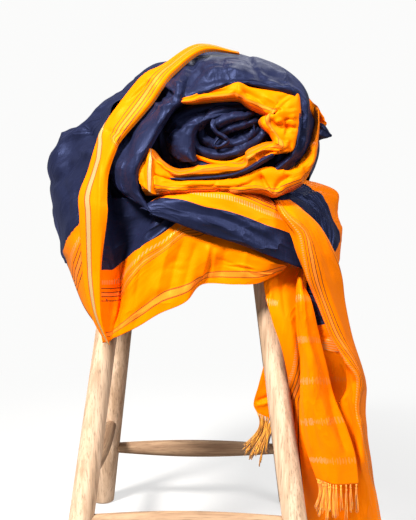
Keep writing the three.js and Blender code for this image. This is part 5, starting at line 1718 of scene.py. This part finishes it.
def fill_body():
    """The layers' top under the cloth over the roll, and their floor on the seat or as a lining."""
    rows = int(round(drape_down * FILL_SHARE)) + 1
    grid = broad_folds(sheet_grid(DRAPE_BODY, drape_down, FILL_OVER), DRAPE_FOLDS)
    normals = grid_normals(grid)
    top = (grid - normals * LAYER_CLEAR)[:rows:3]
    lining = (grid - normals * (LAYER_CLEAR + LINING))[:rows:3]
    t = np.linspace(0, 1, top.shape[1])
    follow = np.interp(t, FLOOR_SHARES, FLOOR_FOLLOWS)[None, :, None]
    on_seat = top.copy()
    on_seat[..., 0] = np.interp(t, FLOOR_SHARES, FLOOR_X)
    on_seat[..., 1] = np.clip(top[..., 1], *SEAT_REACH)
    on_seat[..., 2] = SEAT_HEIGHT + 1.0
    return top, on_seat * (1 - follow) + lining * follow


fill_points, fill_faces = closed_skin(*fill_body())

PLUG_MIDDLE_X = 52
PLUG_MIDDLE_Z = 766
PLUG_SIDES = 72
PLUG_RINGS = [
    # depth, half width, half height
    (-60, 122, 90), (-118, 127, 95), (-134, 116, 84), (-141, 98, 70), (-146, 78, 54), (-149, 58, 40),
    (-151, 38, 26), (-152, 18, 12),
]
plug_points = []
for depth, across, up in PLUG_RINGS:
    for k in range(PLUG_SIDES):
        turn = k / PLUG_SIDES * math.tau
        layer = 2.5 * math.sin(across / 6.0 + turn) + 1.2 * math.sin(across / 2.3 + 2 * turn)
        x, z = PLUG_MIDDLE_X + across * math.cos(turn), PLUG_MIDDLE_Z + up * math.sin(turn)
        plug_points.append((x, depth - layer, z))
plug_faces = [tuple(v + len(fill_points) for v in face) for face in ring_faces(len(PLUG_RINGS), PLUG_SIDES)]

PAD_RINGS = [
    # x, then the middle's depth and height, and the half sizes
    (-66, -130, 640, 24, 18), (-20, -138, 640, 44, 44), (60, -140, 636, 47, 49), (140, -136, 626, 43, 54),
    (192, -130, 608, 36, 54), (224, -108, 604, 16, 28),
]
PAD_SIDES, PAD_STEPS = 48, 40
pad_rings = curve_weights(len(PAD_RINGS), PAD_STEPS) @ np.array(PAD_RINGS, float)
pad_points = [
    (x, depth + through * math.cos(k / PAD_SIDES * math.tau), z + up * math.sin(k / PAD_SIDES * math.tau))
    for x, depth, z, through, up in pad_rings
    for k in range(PAD_SIDES)
]
pad_start = len(fill_points) + len(plug_points)
pad_faces = [tuple(v + pad_start for v in face) for face in ring_faces(len(pad_rings), PAD_SIDES)]
layers = mesh_piece(
    "hidden_layers_fill",
    np.concatenate([fill_points, np.array(plug_points), np.array(pad_points)]),
    fill_faces.tolist() + plug_faces + pad_faces,
    blue_silk,
    "silk_blue",
    "hidden_layers",
)
ROUNDING = 6.0
SOFTENING, SOFTENING_TIMES = 0.5, 6
LAYERS_ACROSS = 0.55
rounding = layers.modifiers.new("rounding", "REMESH")
rounding.mode = "VOXEL"
rounding.voxel_size = ROUNDING * MM
rounding.use_smooth_shade = True
softening = layers.modifiers.new("softening", "SMOOTH")
softening.factor = SOFTENING
softening.iterations = SOFTENING_TIMES
bpy.context.view_layer.update()
settled = bpy.data.meshes.new_from_object(layers.evaluated_get(bpy.context.evaluated_depsgraph_get()))
layers.modifiers.clear()
layers.data = settled
layer_uv = settled.uv_layers.new(name="flat_saree")
corners = np.empty(len(settled.loops), np.int32)
settled.loops.foreach_get("vertex_index", corners)
spots = np.empty(len(settled.vertices) * 3, np.float32)
settled.vertices.foreach_get("co", spots)
spots = spots.reshape(-1, 3)[corners]
flat = np.stack([spots[:, 0] + LAYERS_ACROSS, spots[:, 1] + spots[:, 2]], 1)
layer_uv.data.foreach_set("uv", flat.ravel())
